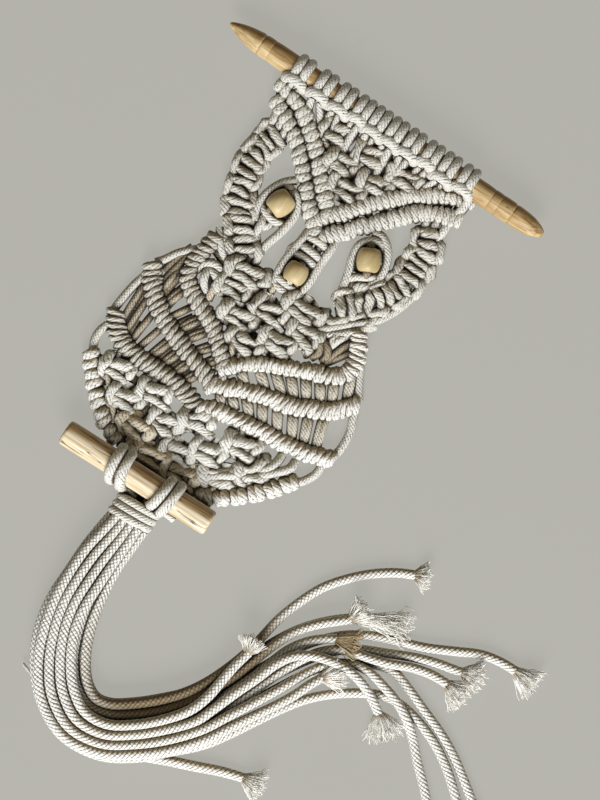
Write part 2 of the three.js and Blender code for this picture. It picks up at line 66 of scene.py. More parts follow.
camera = {
    "over": (42.9, -23.6),     # the point of the flat that the lens looks straight down at
    "turn": 33.6,              # the owl lies this far round from upright
    "height": 1.6, "sensor": 24,
    "covers": 0.44,            # the longer side of the view, on the flat
}
lens = bpy.data.cameras.new("camera")
lens.sensor_fit = "VERTICAL"
lens.sensor_height = camera["sensor"]
lens.lens = camera["sensor"] * camera["height"] / camera["covers"]
holder = linkObject("camera", lens)
holder.location = at(*camera["over"], camera["height"] * 1000)
holder.rotation_euler = (0, 0, math.radians(camera["turn"]))
bpy.context.scene.camera = holder
print("camera set")


# Adds one node: "Math multiply" is a Math node set to multiply. Values fill its open inputs in order, a
# dictionary after them fills inputs by name, and a list links several values to one. A node given as a
# value stands for its first open output. Stops are a ramp's, and items are what a capture takes along.
def addNode(tree, kind, *values, stops=(), items=(), **settings):
    kind, *operation = kind.split()
    families = ["GeometryNode", "FunctionNode"] * (tree.type == "GEOMETRY") + ["ShaderNode", "Node"]
    node = tree.nodes.new(next(family + kind for family in families if hasattr(bpy.types, family + kind)))
    if operation:
        node.operation = operation[0].upper()
    for name, value in settings.items():
        setattr(node, name, value)
    for number, (position, colour) in enumerate(stops):
        ramp = node.color_ramp.elements
        stop = ramp[number] if number < 2 else ramp.new(position)
        stop.position, stop.color = position, linear(colour)
    for item in items:
        node.capture_items.new("FLOAT", item)
    named = values[-1] if values and isinstance(values[-1], dict) else {}
    fields = zip([field for field in node.inputs if field.enabled], values[:-1] if named else values)
    for field, value in [*fields, *((node.inputs[label], value) for label, value in named.items())]:
        for one in value if isinstance(value, list) else [value]:
            if isinstance(one, bpy.types.Node):
                one = next(output for output in one.outputs if output.enabled)
            if isinstance(one, bpy.types.NodeSocket):
                tree.links.new(one, field)
            else:
                field.default_value = one
    return node


tableGap = 0.0001              # metres between the table and what lies on it


# Nothing goes through the table: what would is flattened on it.
def laidFlat(add, geometry, spot, lowest):
    here = add("SeparateXYZ", spot).outputs
    kept = add("CombineXYZ", here[0], here[1], add("Math maximum", here[2], lowest))
    return add("SetPosition", {"Geometry": geometry, "Position": kept})


# How far a noise pushes a point, about its middle.
def pushedBy(add, noise, reach):
    centred = add("VectorMath subtract", noise.outputs["Color"], (0.5, 0.5, 0.5))
    return add("VectorMath scale", centred, reach)


# A geometry tree with named inputs, round the function that adds the nodes of its shape. It ends as one
# real mesh with its material. Tied cord is never quite even, so its points are pushed about, by at most
# "give" metres along each axis.
def makeTree(name, shape, sockets, give=0.0):
    tree = bpy.data.node_groups.new(name, "GeometryNodeTree")
    for way in ("INPUT", "OUTPUT"):
        tree.interface.new_socket(name="Geometry", in_out=way, socket_type="NodeSocketGeometry")
    for label, kind in (sockets | {"Material": "Material"}).items():
        tree.interface.new_socket(name=label, in_out="INPUT", socket_type="NodeSocket" + kind)
    add = partial(addNode, tree)
    inputs = add("GroupInput").outputs
    real = add("RealizeInstances", add("SetShadeSmooth", shape(add, inputs)))
    spot = add("InputPosition")
    if give:
        spot = add("VectorMath add", spot, pushedBy(add, add("TexNoise", spot, 150.0, 1.0), give * 2))
    resting = laidFlat(add, real, spot, tableGap)
    add("GroupOutput", add("SetMaterial", {"Geometry": resting, "Material": inputs["Material"]}))
    return tree


# A round tube on a curve; its "braid" attribute holds the way round (cosine, sine) and the way along.
def addTube(add, line, width, sides, share=1.0):
    run = add("SplineParameter").outputs
    along = add("CaptureAttribute", line, run["Length"], items=["Length"])
    ring = add("CurvePrimitiveCircle", sides, add("Math multiply", width, 0.5))
    around = add("CaptureAttribute", ring, run["Factor"], items=["Factor"])
    angle = add("Math multiply", around.outputs["Factor"], 2 * math.pi)
    braid = add("CombineXYZ", add("Math cosine", angle), add("Math sine", angle), along.outputs["Length"])
    tube = add("CurveToMesh", along, around, share, True)
    return add("StoreNamedAttribute", {"Geometry": tube, "Name": "braid", "Value": braid},
               data_type="FLOAT_VECTOR", domain="POINT")


# The turn about z and the size of what stands on each seat, both a little off at random.
def uneven(add, inputs, look, angle, size):
    seed = {"Seed": inputs["Seed"]}
    lowest = tuple(-swing for swing in look["swings"])
    swing = add("RandomValue", lowest, look["swings"], seed, data_type="FLOAT_VECTOR")
    swung = add("VectorMath scale", swing, inputs["Unevenness"])
    turn = add("VectorMath add", add("CombineXYZ", 0, 0, angle), swung)
    share = add("RandomValue", look["least"], look["most"], seed, data_type="FLOAT_VECTOR")
    return add("EulerToRotation", turn), add("VectorMath multiply", share, size)


# A cord on each line of a curve.
def cordShape(add, inputs):
    line = add("ResampleCurve", {"Curve": inputs["Geometry"], "Length": inputs["Step"]}, mode="LENGTH")
    return addTube(add, line, inputs["Cord Width"], inputs["Sides"], add("InputRadius"))


hitch = {
    "from": -34, "sweep": 248,              # the part of a circle that each arch of cord takes, in degrees
    "arcPoints": 13, "sides": 10,
    "squeeze": 1.36,                        # pitches that a hitch is wide, so neighbours press together
    "carrierStep": 0.004, "give": 0.0014,   # metres
    "swings": (0.07, 0.1, 0.16),            # radians off true, about x, y and z
    "least": (0.94, 0.9, 0.92), "most": (1.05, 1.1, 1.07),
}


# Hitches side by side along a bar, each an arch of cord over the carrier, and the carrier itself.
def hitchShape(add, inputs):
    bar, cord = inputs["Geometry"], inputs["Cord Width"]
    points = add("CurveToPoints", bar, inputs["Pitch"], mode="LENGTH").outputs
    # the two hitches of one cord stand closer to each other than to the next cord's
    odd = add("Math floored_modulo", add("InputIndex"), 2.0)
    nearer = add("Math multiply", add("Math subtract", 0.5, odd), inputs["Pairing"])
    shift = add("VectorMath scale", points["Tangent"], nearer)
    seats = add("SetPosition", {"Geometry": points["Points"], "Offset": shift})
    radius = add("Math multiply", add("Math subtract", inputs["Bar Height"], cord), 0.5)
    arch = add("CurveArc", hitch["arcPoints"], radius, math.radians(hitch["from"]),
               math.radians(hitch["sweep"]), mode="RADIUS")
    upright = add("Transform", {"Geometry": arch, "Rotation": (math.pi / 2, 0, 0)})
    facing = add("AlignRotationToVector", {"Vector": points["Tangent"]}, axis="Y", pivot_axis="Z")
    spread = add("Math divide", inputs["Bar Width"], inputs["Bar Height"])
    squeeze = add("Math divide", add("Math multiply", inputs["Pitch"], hitch["squeeze"]), cord)
    turn, size = uneven(add, inputs, hitch, inputs["Slant"], add("CombineXYZ", spread, squeeze, 1.0))
    hitches = add("InstanceOnPoints", {
        "Points": seats, "Instance": addTube(add, upright, cord, hitch["sides"]),
        "Rotation": add("RotateRotation", facing, turn, rotation_space="LOCAL"), "Scale": size})
    line = add("ResampleCurve", {"Curve": bar, "Length": hitch["carrierStep"]}, mode="LENGTH")
    return add("JoinGeometry", [hitches, addTube(add, line, cord, hitch["sides"])])


knotted = {
    "give": 0.0026, "swings": (0.05, 0.06, 0.09), "least": (0.96, 0.95, 0.94), "most": (1.04, 1.04, 1.04),
}


# One knot on each point of a mesh, turned and widened by the point's own attributes.
def netShape(add, inputs):
    turn, wide = [add("InputNamedAttribute", label, data_type="FLOAT") for label in ("turn", "wide")]
    rotation, size = uneven(add, inputs, knotted, turn, add("CombineXYZ", wide, 1.0, 1.0))
    return add("InstanceOnPoints", {
        "Points": inputs["Geometry"], "Instance": add("ObjectInfo", inputs["Knot"]).outputs["Geometry"],
        "Rotation": rotation, "Scale": size})


fibreLook = {
    "wide": 0.00046, "sides": 4, "points": 10, "lowest": 0.0003,
    "inside": 0.44,            # the fibres fill this share of the cord's width, each way
    "lean": (0.1, 1.3), "size": (0.55, 1.1),
    "wave": 300.0,             # waves of the tangle along a metre
    "loosens": 1.4,            # how late along a fibre the tangle sets in
    "streaks": 380.0,          # waves of the colour along a metre
    "root": (0.009, 0.003),    # metres from the cord: the painted shade at the roots is gone, and is full
    "seatTurn": 137.508,       # degrees from one seat to the next, which fills a disc evenly
}


# A tuft of loose fibres round a cord's end: a disc of points, a fibre on each, bent outwards at random.
def frayShape(add, inputs):
    length, seed = inputs["Fibre Length"], {"Seed": inputs["Seed"]}
    line = add("CurvePrimitiveLine", (0, 0, 0), add("CombineXYZ", length))
    stem = add("ResampleCurve", {"Curve": line, "Count": fibreLook["points"]}, mode="COUNT")
    index = add("InputIndex")
    way = add("Math multiply", index, math.radians(fibreLook["seatTurn"]))
    across, up = add("Math cosine", way), add("Math sine", way)
    share = add("Math sqrt", add("Math divide", index, inputs["Fibres"]))
    reach = add("Math multiply", share, add("Math multiply", inputs["Cord Width"], fibreLook["inside"]))
    disc = add("CombineXYZ", 0, add("Math multiply", across, reach), add("Math multiply", up, reach))
    seats = add("SetPosition", {"Geometry": add("Points", inputs["Fibres"]), "Position": disc})
    leaning = add("RandomValue", *fibreLook["lean"], seed, data_type="FLOAT")
    tilt = add("Math multiply", add("Math multiply", share, inputs["Spread"]), leaning)
    lean = add("CombineXYZ", 0, add("Math multiply", add("Math multiply", up, tilt), -1.0),
               add("Math multiply", across, tilt))
    fibres = add("InstanceOnPoints", {
        "Points": seats, "Instance": stem, "Rotation": add("EulerToRotation", lean),
        "Scale": add("RandomValue", *fibreLook["size"], seed, data_type="FLOAT")})
    here = add("InputPosition")
    part = add("Math power", add("Math divide", add("SeparateXYZ", here), length), fibreLook["loosens"])
    wave = add("TexNoise", here, inputs["Seed"], fibreLook["wave"], 1.0, noise_dimensions="4D")
    tangle = pushedBy(add, wave, add("Math multiply", part, inputs["Tangle"]))
    bent = add("SetPosition", {"Geometry": add("RealizeInstances", fibres), "Offset": tangle})
    moved = add("Transform", {"Geometry": bent, "Translation": inputs["Place"], "Rotation": inputs["Turn"]})
    laid = laidFlat(add, moved, add("InputPosition"), fibreLook["lowest"])
    return addTube(add, laid, fibreLook["wide"], fibreLook["sides"])


cordTree = makeTree("laidCords", cordShape, {"Cord Width": "Float", "Sides": "Int", "Step": "Float"})
hitchTree = makeTree("hitchesOnCarrier", hitchShape, {
    "Pitch": "Float", "Pairing": "Float", "Bar Width": "Float", "Bar Height": "Float",
    "Cord Width": "Float", "Slant": "Float", "Unevenness": "Float", "Seed": "Int"}, hitch["give"])
netTree = makeTree("netOfKnots", netShape, {"Knot": "Object", "Unevenness": "Float", "Seed": "Int"},
                   knotted["give"])
frayTree = makeTree("frayedEnd", frayShape, {
    "Fibres": "Int", "Fibre Length": "Float", "Spread": "Float", "Tangle": "Float", "Cord Width": "Float",
    "Place": "Vector", "Turn": "Vector", "Seed": "Int"})
print("node trees built")


lineParts = 6                  # parts of a smooth line between two points of its table


# Points of a smooth line through the table's points, on centripetal spans.
def smoothLine(points, parts=lineParts):
    points = [Vector(point) for point in points]
    ends = [2 * points[0] - points[1], *points, 2 * points[-1] - points[-2]]
    line = [points[0]]
    for before, start, end, after in zip(ends, ends[1:], ends[2:], ends[3:]):
        first, second, third = [max((b - a).length, 1e-6) ** 0.5
                                for a, b in ((before, start), (start, end), (end, after))]
        span = (end - start) / second
        leave = ((start - before) / first - (end - before) / (first + second) + span) * second
        arrive = (span - (after - start) / (second + third) + (after - end) / third) * second
        for part in range(1, parts + 1):
            t = part / parts
            line.append(start + leave * t + (3 * (end - start) - 2 * leave - arrive) * t ** 2
                        + (2 * (start - end) + leave + arrive) * t ** 3)
    return line


def lineLength(points):
    return sum((b - a).length for a, b in zip(points, points[1:]))


# Gives the points of a table line that have no height of their own the height z.
def lifted(line, z):
    return [(*point, z)[:3] for point in line]


# Lines of table points to smooth lines in metres.
def routed(lines, z=0.0):
    return [[at(*point) for point in smoothLine(lifted(line, z))] for line in lines]


# A curve object with one spline for each line. Widths are shares of the cord's width, one for each line
# or a list of one for each of its points.
def curveObject(name, lines, widths=None):
    data = bpy.data.curves.new(name, "CURVE")
    data.dimensions = "3D"
    for line, shares in zip(lines, widths or [1.0] * len(lines)):
        spline = data.splines.new("POLY")
        spline.points.add(len(line) - 1)
        shares = shares if isinstance(shares, list) else [shares] * len(line)
        for point, spot, share in zip(spline.points, line, shares):
            point.co, point.radius = (*spot, 1), share
    return linkObject(name, data)


# The evaluated result of a node tree on an object, as a plain mesh object of that name.
def grown(name, source, tree, settings):
    modifier = source.modifiers.new("grow", "NODES")
    modifier.node_group = tree
    labels = {item.name: item.identifier for item in tree.interface.items_tree if item.in_out == "INPUT"}
    for label, value in settings.items():
        modifier[labels[label]] = value
    bpy.context.view_layer.update()
    graph = bpy.context.evaluated_depsgraph_get()
    mesh = bpy.data.meshes.new_from_object(
        source.evaluated_get(graph), preserve_all_data_layers=True, depsgraph=graph)
    source.modifiers.remove(modifier)
    bpy.data.objects.remove(source)
    mesh.name = name
    return linkObject(name, mesh)


def place(piece, slotName, *nodes):
    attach(piece, "root")
    if nodes:
        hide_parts(*nodes)


# Lays cords of one cotton along lines as one piece, which stands for the nodes named. Sizes are in mm.
def layCords(name, lines, nodes=(), look="", wide=5.0, sides=12, step=1.5, rest=2.5, widths=None):
    piece = grown(name, curveObject(name, routed(lines, rest), widths), cordTree, {
        "Cord Width": wide / 1000, "Sides": sides, "Step": step / 1000, "Material": cottons[look]})
    place(piece, "cotton_cord", *nodes)


def newMaterial(name):
    material = bpy.data.materials.new(name)
    material.use_nodes = True
    material.node_tree.nodes.clear()
    return material, partial(addNode, material.node_tree)


# Lays tints over a colour, each as far as its factor says.
def tinted(add, colour, *layers):
    for factor, tint in layers:
        tint = linear(tint) if isinstance(tint, str) else tint
        colour = add("Mix", factor, colour, tint, data_type="RGBA", blend_type="MULTIPLY")
    return colour


# One where a surface slopes up and away from the window, none where it is level, upright or faces it: the
# mask of the painted shade on the side turned from the window.
def paintedAwayShade(add, away, low, high):
    normal = add("NewGeometry").outputs["Normal"]
    upward = add("SeparateXYZ", normal).outputs[2]
    slope = add("Math multiply", add("VectorMath dot_product", normal, away), upward)
    return add("MapRange", slope, low / 2, high / 2, interpolation_type="SMOOTHSTEP")


# Braided cotton: a tube plaited from soft yarns, so its face is rows of small slanted stitches, fuzzy
# with loose fibre. Painted shade darkens it deep between the cords, low down and on the side turned from
# the window.
def braidedCotton(name, look):
    material, add = newMaterial(name)
    spot = add("TexCoord").outputs["Object"]
    braid = add("SeparateXYZ", add("Attribute", attribute_name="braid").outputs["Vector"]).outputs
    angle, length = add("Math arctan2", braid[1], braid[0]), braid[2]
    # fuzz a millimetre across, coarser than real fibre so that it shows, and drifts eight across
    fuzz = add("TexNoise", spot, 900.0, 3.0, 0.65)
    drift = add("TexNoise", spot, 130.0, 2.0)
    # the lattice of a braid: two sets of yarns wind round the cord, one each way
    stitches = add("Math divide", length, look["stitch"] / 1000)
    along = add("Math multiply_add", drift, look["wander"], stitches)
    lay = add("Math multiply", angle, look["yarns"] / (2 * math.pi))
    grooves = []
    for way in ("add", "subtract"):
        wave = add("Math sine", add("Math multiply", add("Math " + way, along, lay), math.pi))
        grooves.append(add("Math power", add("Math absolute", wave), look["sharpness"]))
    weaker = add("Math multiply_add", grooves[1], look["cross"], 1 - look["cross"])
    stitch = add("Math multiply", grooves[0], weaker)
    # wisps of fibre that follow the lay, drawn coarse enough to show
    twist = add("Math multiply_add", length, look["twist"] * 1000, angle)
    wound = add("CombineXYZ", add("Math cosine", twist), add("Math sine", twist), length)
    wispPlace = add("VectorMath multiply_add", wound, look["wispSize"], add("CombineXYZ", drift, drift))
    wisp = add("TexNoise", wispPlace, 1.3, 4.0, 0.6)
    yarn = add("Math multiply", fuzz, look["fuzz"])
    for part, weight in ((wisp, "wisps"), (stitch, "braid")):
        yarn = add("Math multiply_add", part, look[weight], yarn)
    # the yarn's high places are painted paler and its grooves darker: painted highlight and shade on the
    # stitches
    face = add("ValToRGB", yarn, stops=zip(look["levels"], (look["groove"], look["body"], look["crown"])))
    # painted shade: low places tinted deep, the side turned from the window tinted, and creases darkened by
    # ambient occlusion
    height = add("SeparateXYZ", spot).outputs[2]
    low, high = (level / 1000 for level in look["depth"])
    near = add("AmbientOcclusion", {"Distance": look["hollow"] / 1000}, samples=8).outputs["AO"]
    layers = [(add("MapRange", height, high, low, interpolation_type="SMOOTHSTEP"), look["deep"]),
              (paintedAwayShade(add, look["away"], *look["awayShading"]), look["awayShadeColour"]),
              (1.0, add("ValToRGB", near, stops=zip(look["dark"], look["creases"])))]
    # painted shade round one place, where the tail bundle turns
    if "turnShade" in look:
        turnShadeLook = look["turnShade"]
        apart = add("VectorMath distance", spot, at(*turnShadeLook["at"]))
        layers.insert(2, (add("MapRange", apart, turnShadeLook["fades"] / 1000, turnShadeLook["full"] / 1000,
                              interpolation_type="SMOOTHSTEP"), turnShadeLook["colour"]))
    add("OutputMaterial", add("BsdfPrincipled", {
        "Base Color": tinted(add, face, *layers), "Roughness": 0.92,
        "Sheen Weight": 0.15, "Sheen Roughness": 0.6,
        "Normal": add("Bump", {"Height": yarn, "Strength": look["relief"], "Distance": 0.0008})}))
    return material


# Sizes are in mm.
cottonLook = {
    # groove and deep are painted shade, between the stitches and in low places
    "crown": "#EBEAE4", "body": "#D6D4CB", "groove": "#625A48", "deep": "#B5A385",
    "awayShadeColour": "#D4CAB4", "awayShading": (-0.05, 0.8),     # painted shade on the side turned from the window
    "away": (-0.5, 0.86, 0.0),
    "yarns": 7,                # yarns that wind round the cord each way
    "stitch": 2.1,             # length of one stitch along the cord
    "cross": 0.4,              # how deep the second set of grooves is, against the first
    "sharpness": 0.7,          # below one, the grooves are narrow and the yarns between them full
    "braid": 0.5, "wisps": 0.85, "fuzz": 0.8, "levels": (0.8, 1.0, 1.0), "wispSize": (2.5, 2.5, 300.0),
    "twist": 0.25, "wander": 1.2, "relief": 1.0,
    "depth": (0.5, 6.0),       # the painted shade of low places fades out between these heights
    "hollow": 5.0,             # how far round a point its neighbours shade it
    # painted shade in the creases, from ambient occlusion: where it sets in, and its colours
    "dark": (0.3, 0.49, 0.75), "creases": ("#080502", "#7A6A4E", "#FFFFFF"),
}
netLook = {"body": "#C2BFB5", "crown": "#DEDCD4", "groove": "#5A5343", "braid": 0.46, "cross": 0.35,
           "hollow": 5.5, "dark": (0.43, 0.62, 0.87)}
hitchLook = {"cross": 0.5, "stitch": 1.7, "twist": -0.15, "dark": (0.36, 0.54, 0.77)}
tailLook = {
    "body": "#E0DDD4", "groove": "#453D2D", "crown": "#F8F7F2", "awayShadeColour": "#C2B292",
    "awayShading": (0.08, 0.96), "braid": 0.75, "wisps": 0.5, "fuzz": 0.4, "levels": (0.44, 0.78, 1.0),
    "wander": 0.8, "stitch": 2.8, "cross": 0.6, "yarns": 6, "depth": (-2.0, 1.0), "hollow": 4.0,
    "dark": (0.2, 0.42, 0.65)}
# Each is named for where its cord lies, and changes only what differs there; several are lighter or darker
# copies of one cotton, painted light and shade for where their cords lie.
cottonLooks = {
    "": {},
    "OnDowel": {"body": "#E4E2DA", "crown": "#E8E6DF", "awayShadeColour": "#FAF7F0", "dark": (0.26, 0.42, 0.62)},
    "Knotted": netLook,
    "Rings": netLook | {"body": "#C8C5BB", "crown": "#E0DED6", "dark": (0.42, 0.61, 0.86)},
    "Belly": {"body": "#DAD8CF", "awayShadeColour": "#E0D9C8", "dark": (0.32, 0.5, 0.78)},
    "Hitched": hitchLook | {"body": "#D2D0C7", "crown": "#E2E0D8", "awayShadeColour": "#E2DBCC"},
    "HitchedLitAndShaded": hitchLook | {
        "body": "#DDDAD1", "crown": "#F6F5F0", "awayShadeColour": "#B6A380", "awayShading": (-0.1, 0.75)},
    "HitchedBrow": hitchLook | {
        "body": "#E0DED6", "crown": "#ECEAE3", "awayShadeColour": "#E6DFD0", "dark": (0.33, 0.5, 0.73)},
    "HitchedShaded": hitchLook | {
        "body": "#B9B4A6", "groove": "#4E4636", "crown": "#D8D5CB", "awayShadeColour": "#A6946F",
        "dark": (0.5, 0.68, 0.9)},
    "ShadedBetweenBars": {
        "body": "#BAB09A", "groove": "#453B2A", "crown": "#E2DCCD", "deep": "#B8A684", "awayShadeColour": "#C2B595",
        "dark": (0.42, 0.62, 0.88)},
    "DeepShadedBetweenBars": {
        "body": "#968A72", "groove": "#2A2318", "crown": "#C9BEA8", "deep": "#A08A66", "awayShadeColour": "#AC9E7E",
        "dark": (0.56, 0.79, 1.0)},
    "ShadedInTheFolds": {
        "body": "#CCBE9F", "groove": "#54462F", "crown": "#E6DCC7", "deep": "#CDBB98", "awayShadeColour": "#CFC1A4",
        "dark": (0.34, 0.5, 0.72)},
    "DeepShaded": {
        "body": "#857860", "groove": "#2C2519", "crown": "#B4A78D", "deep": "#A08A66",
        "dark": (0.46, 0.72, 0.98)},
    "Tail": tailLook,
    # painted shade round the place where the bundle turns
    "TailShadedInTurn": tailLook | {
        "turnShade": {"at": (78, -184, 8), "full": 38, "fades": 72, "colour": "#A08E70"}},
}
cottons = {look: braidedCotton("braidedCotton" + look, cottonLook | changes)
           for look, changes in cottonLooks.items()}


# Combed cotton fibre: matt, nearly white, in thin threads, browner where they leave the cord, which is
# painted shade.
def combedFibre(name, tint):
    material, add = newMaterial(name)
    streak = add("TexNoise", add("TexCoord").outputs["Object"], fibreLook["streaks"], 2.0)
    along = add("SeparateXYZ", add("Attribute", attribute_name="braid").outputs["Vector"]).outputs[2]
    root = add("MapRange", add("Math multiply_add", streak, 0.006, along), *fibreLook["root"])
    face = add("ValToRGB", streak, stops=[(0.3, "#E2DCCF"), (0.6, "#FFFFFC")])
    add("OutputMaterial", add("BsdfPrincipled", {
        "Base Color": tinted(add, face, (1.0, tint), (root, "#A08C68")),
        "Roughness": 0.9, "Sheen Weight": 0.3}))
    return material


fibre = combedFibre("combedCottonFibre", "#FFFFFF")
# one tuft's fibre is tinted browner all through
brownerFibre = combedFibre("combedCottonFibreBrowner", "#C8B694")


# Bare wood, unvarnished: grain drawn out along the piece, and thin dark drying cracks. Fine grain is a
# millimetre wide, coarser than the real, so that it shows; its sizes here are in waves a metre.
def bareWood(name, look):
    material, add = newMaterial(name)
    stretch = add("Mapping", {"Vector": add("TexCoord").outputs["Object"], "Scale": look["stretch"],
                              "Rotation": (0, 0, math.radians(-look["turn"]))})
    grain = add("TexNoise", stretch, look["fine"], 5.0, 0.65)
    broad = add("TexNoise", stretch, look["broad"], 2.0)
    mix = add("Math multiply_add", grain, 0.55, add("Math multiply", broad, 0.45))
    tone = add("ValToRGB", mix, stops=[(0.37, look["dark"]), (0.5, look["middle"]), (0.64, look["light"])])
    # a crack runs where a long drawn noise crosses one level
    size, crossing, wide = look["cracks"]
    off = add("Math absolute", add("Math subtract", add("TexNoise", stretch, size, 3.0, 0.55), crossing))
    crack = add("ValToRGB", off, stops=[(0.0, "#4A3520"), (wide, "#FFFFFF")])
    # painted shade: the wood is darker on the side turned from the window
    awayShading = paintedAwayShade(add, cottonLook["away"], 0.0, 1.0)
    add("OutputMaterial", add("BsdfPrincipled", {
        "Base Color": tinted(add, tone, (awayShading, look["awayShadeColour"]), (1.0, crack)),
        "Roughness": look["roughness"],
        "Normal": add("Bump", {"Height": grain, "Strength": 0.25, "Distance": 0.0003})}))
    return material


# turned beech: close pale grain with short flecks, cut smooth on a lathe
turnedWood = bareWood("turnedBeech", {
    "turn": -0.5, "stretch": (0.06, 1, 1), "fine": 900.0, "broad": 260.0, "roughness": 0.5,
    "cracks": (300.0, 0.65, 0.012),
    "dark": "#8A6838", "middle": "#C2A472", "light": "#E0CCA0", "awayShadeColour": "#CDB68C"})
# sawn pine: pale and dry, with long streaks and checks in its face
sawnWood = bareWood("sawnPine", {
    "turn": 1.1, "stretch": (0.045, 1, 1), "fine": 800.0, "broad": 330.0, "roughness": 0.6,
    "cracks": (260.0, 0.575, 0.016),
    "dark": "#A08862", "middle": "#DCC8A4", "light": "#F6EEDC", "awayShadeColour": "#CAB084"})
# polished beads: an even yellow, with faint broad grain and a soft gloss
beadWood = bareWood("polishedBead", {
    "turn": -20, "stretch": (1, 0.12, 0.6), "fine": 500.0, "broad": 90.0, "roughness": 0.45,
    "cracks": (300.0, 0.75, 0.005),
    "dark": "#B8A474", "middle": "#C8B486", "light": "#D4C298", "awayShadeColour": "#D4C4A0"})
print("materials made")


# The tail: every strand runs along the bundle, from its first lane to its last and in one layer, until a
# place of the bundle or its end, and then on its own points. Of the bundle: x, y and how far apart its
# lanes lie.
bundle = [
    (1.3, -133.9, 4.75), (0.9, -142, 5), (0.3, -155, 5.35), (1, -170, 5.5), (2.5, -185, 5.7),
    (6.5, -200, 5.9), (13.5, -214, 6.1), (24, -226, 6.1), (38, -233, 6), (53, -231, 5.9), (66, -222.5, 5.9),
    (78, -211, 5.9),
]
layerHeight = {"low": 2.5, "middle": 7.8, "high": 13.1}
tail = {
    "wide": 5.4,               # the cord spreads a little where nothing draws it tight
    "cut": 5.0,                # its width as sold
    "underWrap": 3.3,          # each strand starts this far inside the wrapping
    "wander": 0.09,            # lanes weave by this share of their width
    # which strands carry the painted shade of the bundle's turn, and which tuft is browner
    "turnShade": "acd", "brownerTuft": "e",
}
strands = {
    "a": {"lanes": (-2, -2), "layer": "middle", "free": [(79.5, -191.5), (86, -180.5), (91, -168),
        (95, -155), (97, -146, 5.5), (98.2, -139, 3), (99.6, -131, 2.5), (103.5, -118, 2.5),
        (110, -103, 2.5), (118.5, -91.5, 2.5), (129, -81, 2.5), (140, -73, 2.5), (149, -68.5, 2.5)]},
    "b": {"lanes": (-1.5, -0.1), "layer": "high", "free": [(86.5, -198), (90.6, -186.5), (92, -176, 12.9),
        (93.6, -164), (95.8, -154, 12.4)]},
    "c": {"lanes": (-1, -1), "layer": "middle", "free": [(84.5, -194), (91, -181), (96.5, -170),
        (100.5, -158), (103.5, -148.5), (106.5, -140), (111.5, -130), (119, -120.5), (127, -113),
        (133, -108)]},
    "d": {"lanes": (-2, -2), "layer": "low", "free": [(85, -186), (92, -171), (99, -155), (105.5, -140),
        (113, -127.5), (123, -116), (133, -107.5), (139, -103.5)]},
    "e": {"lanes": (0, 0), "layer": "middle", "free": [(95.5, -190), (100.5, -177), (105.5, -164),
        (109.5, -151), (113.5, -140.5), (119.5, -131.5), (126.5, -125), (132, -121.5, 7.6)]},
    "f": {"lanes": (-1, -1), "layer": "low", "free": [(91, -188), (99, -174), (106.5, -158),
        (114.5, -142.5), (124, -128.5), (135, -117.5), (147, -110), (160, -104.5), (175, -99), (190, -91.5),
        (203, -85), (214, -82.5), (224, -82)]},
    "g": {"lanes": (0, 0), "layer": "low", "free": [(97.5, -190), (106, -176), (113.5, -161), (121, -147),
        (131, -132.5), (141, -122.8), (151, -117), (162, -112), (174, -106.5), (187, -102), (200, -99)]},
    "h": {"lanes": (1, 1), "layer": "middle", "free": [(102, -190), (107, -178), (112, -165), (117, -152.5),
        (122.5, -141, 7.7), (129.5, -131.2), (139, -124.2, 7.9), (151, -120.8, 7.9), (163, -117, 7.9),
        (175, -112, 4.6), (187, -109.2, 2.5), (197, -108.7, 2.5)]},
    "i": {"lanes": (-0.5, 0.85), "layer": "high", "free": [(92.5, -201), (97, -190), (102, -176.5),
        (107.5, -163), (111.8, -151), (117, -142.5, 13.2), (124.5, -136.8, 13.2), (134, -133.3, 13.2),
        (146, -131.8, 12.9), (156, -133.6, 11.2), (166, -138, 8.6), (174, -143, 6)]},
    "j": {"lanes": (1.5, 2.7), "layer": "high", "free": [(102, -207), (111.5, -191), (118, -180),
        (124, -170, 12.5), (129.3, -160, 12), (133.2, -150.5, 11), (137, -143, 9.5)]},
    "k": {"lanes": (2, 2), "layer": "low", "until": 10, "free": [(74, -236.5), (90, -229.5), (105, -223.5),
        (120, -217.3), (132, -213.5)]},
    "l": {"lanes": (0.5, 1.8), "layer": "high", "free": [(98, -203), (105.3, -190), (111.5, -179),
        (117.3, -168, 12.5), (122.8, -157.5, 11), (127.5, -148, 8.8), (132.5, -140, 7.7),
        (139, -132.8, 7.6), (148, -127.8, 7.9), (158, -126.8, 7.9), (168, -128.8, 7.9), (178, -131.7, 7.95),
        (188, -137, 6.6), (197, -144, 3), (206, -153, 2.5), (217, -163, 2.5), (226, -172, 2.5)]},
    "m": {"lanes": (2, 2.9), "layer": "middle", "free": [(103, -210, 7.6), (112, -197, 7),
        (119.5, -184.5, 6), (127.5, -171.5, 4), (135.5, -160, 2.7), (144, -151, 2.5), (153, -143.7, 2.5),
        (162, -137.8, 2.5), (171, -133.6, 2.5), (181, -132.3, 2.5), (194, -134.5, 2.5), (208, -139.5, 2.5),
        (221, -147, 2.5), (233, -156.5, 2.5), (243, -165, 2.5)]},
    "n": {"lanes": (1, 1), "layer": "low", "free": [(104, -190), (113, -176), (121, -161), (129, -147),
        (138, -136.5), (148, -128), (158, -121.9), (168, -119.3), (180, -122.5), (194, -127.8), (208, -133),
        (221, -139.5), (233, -147.5), (246, -156.5)]},
}
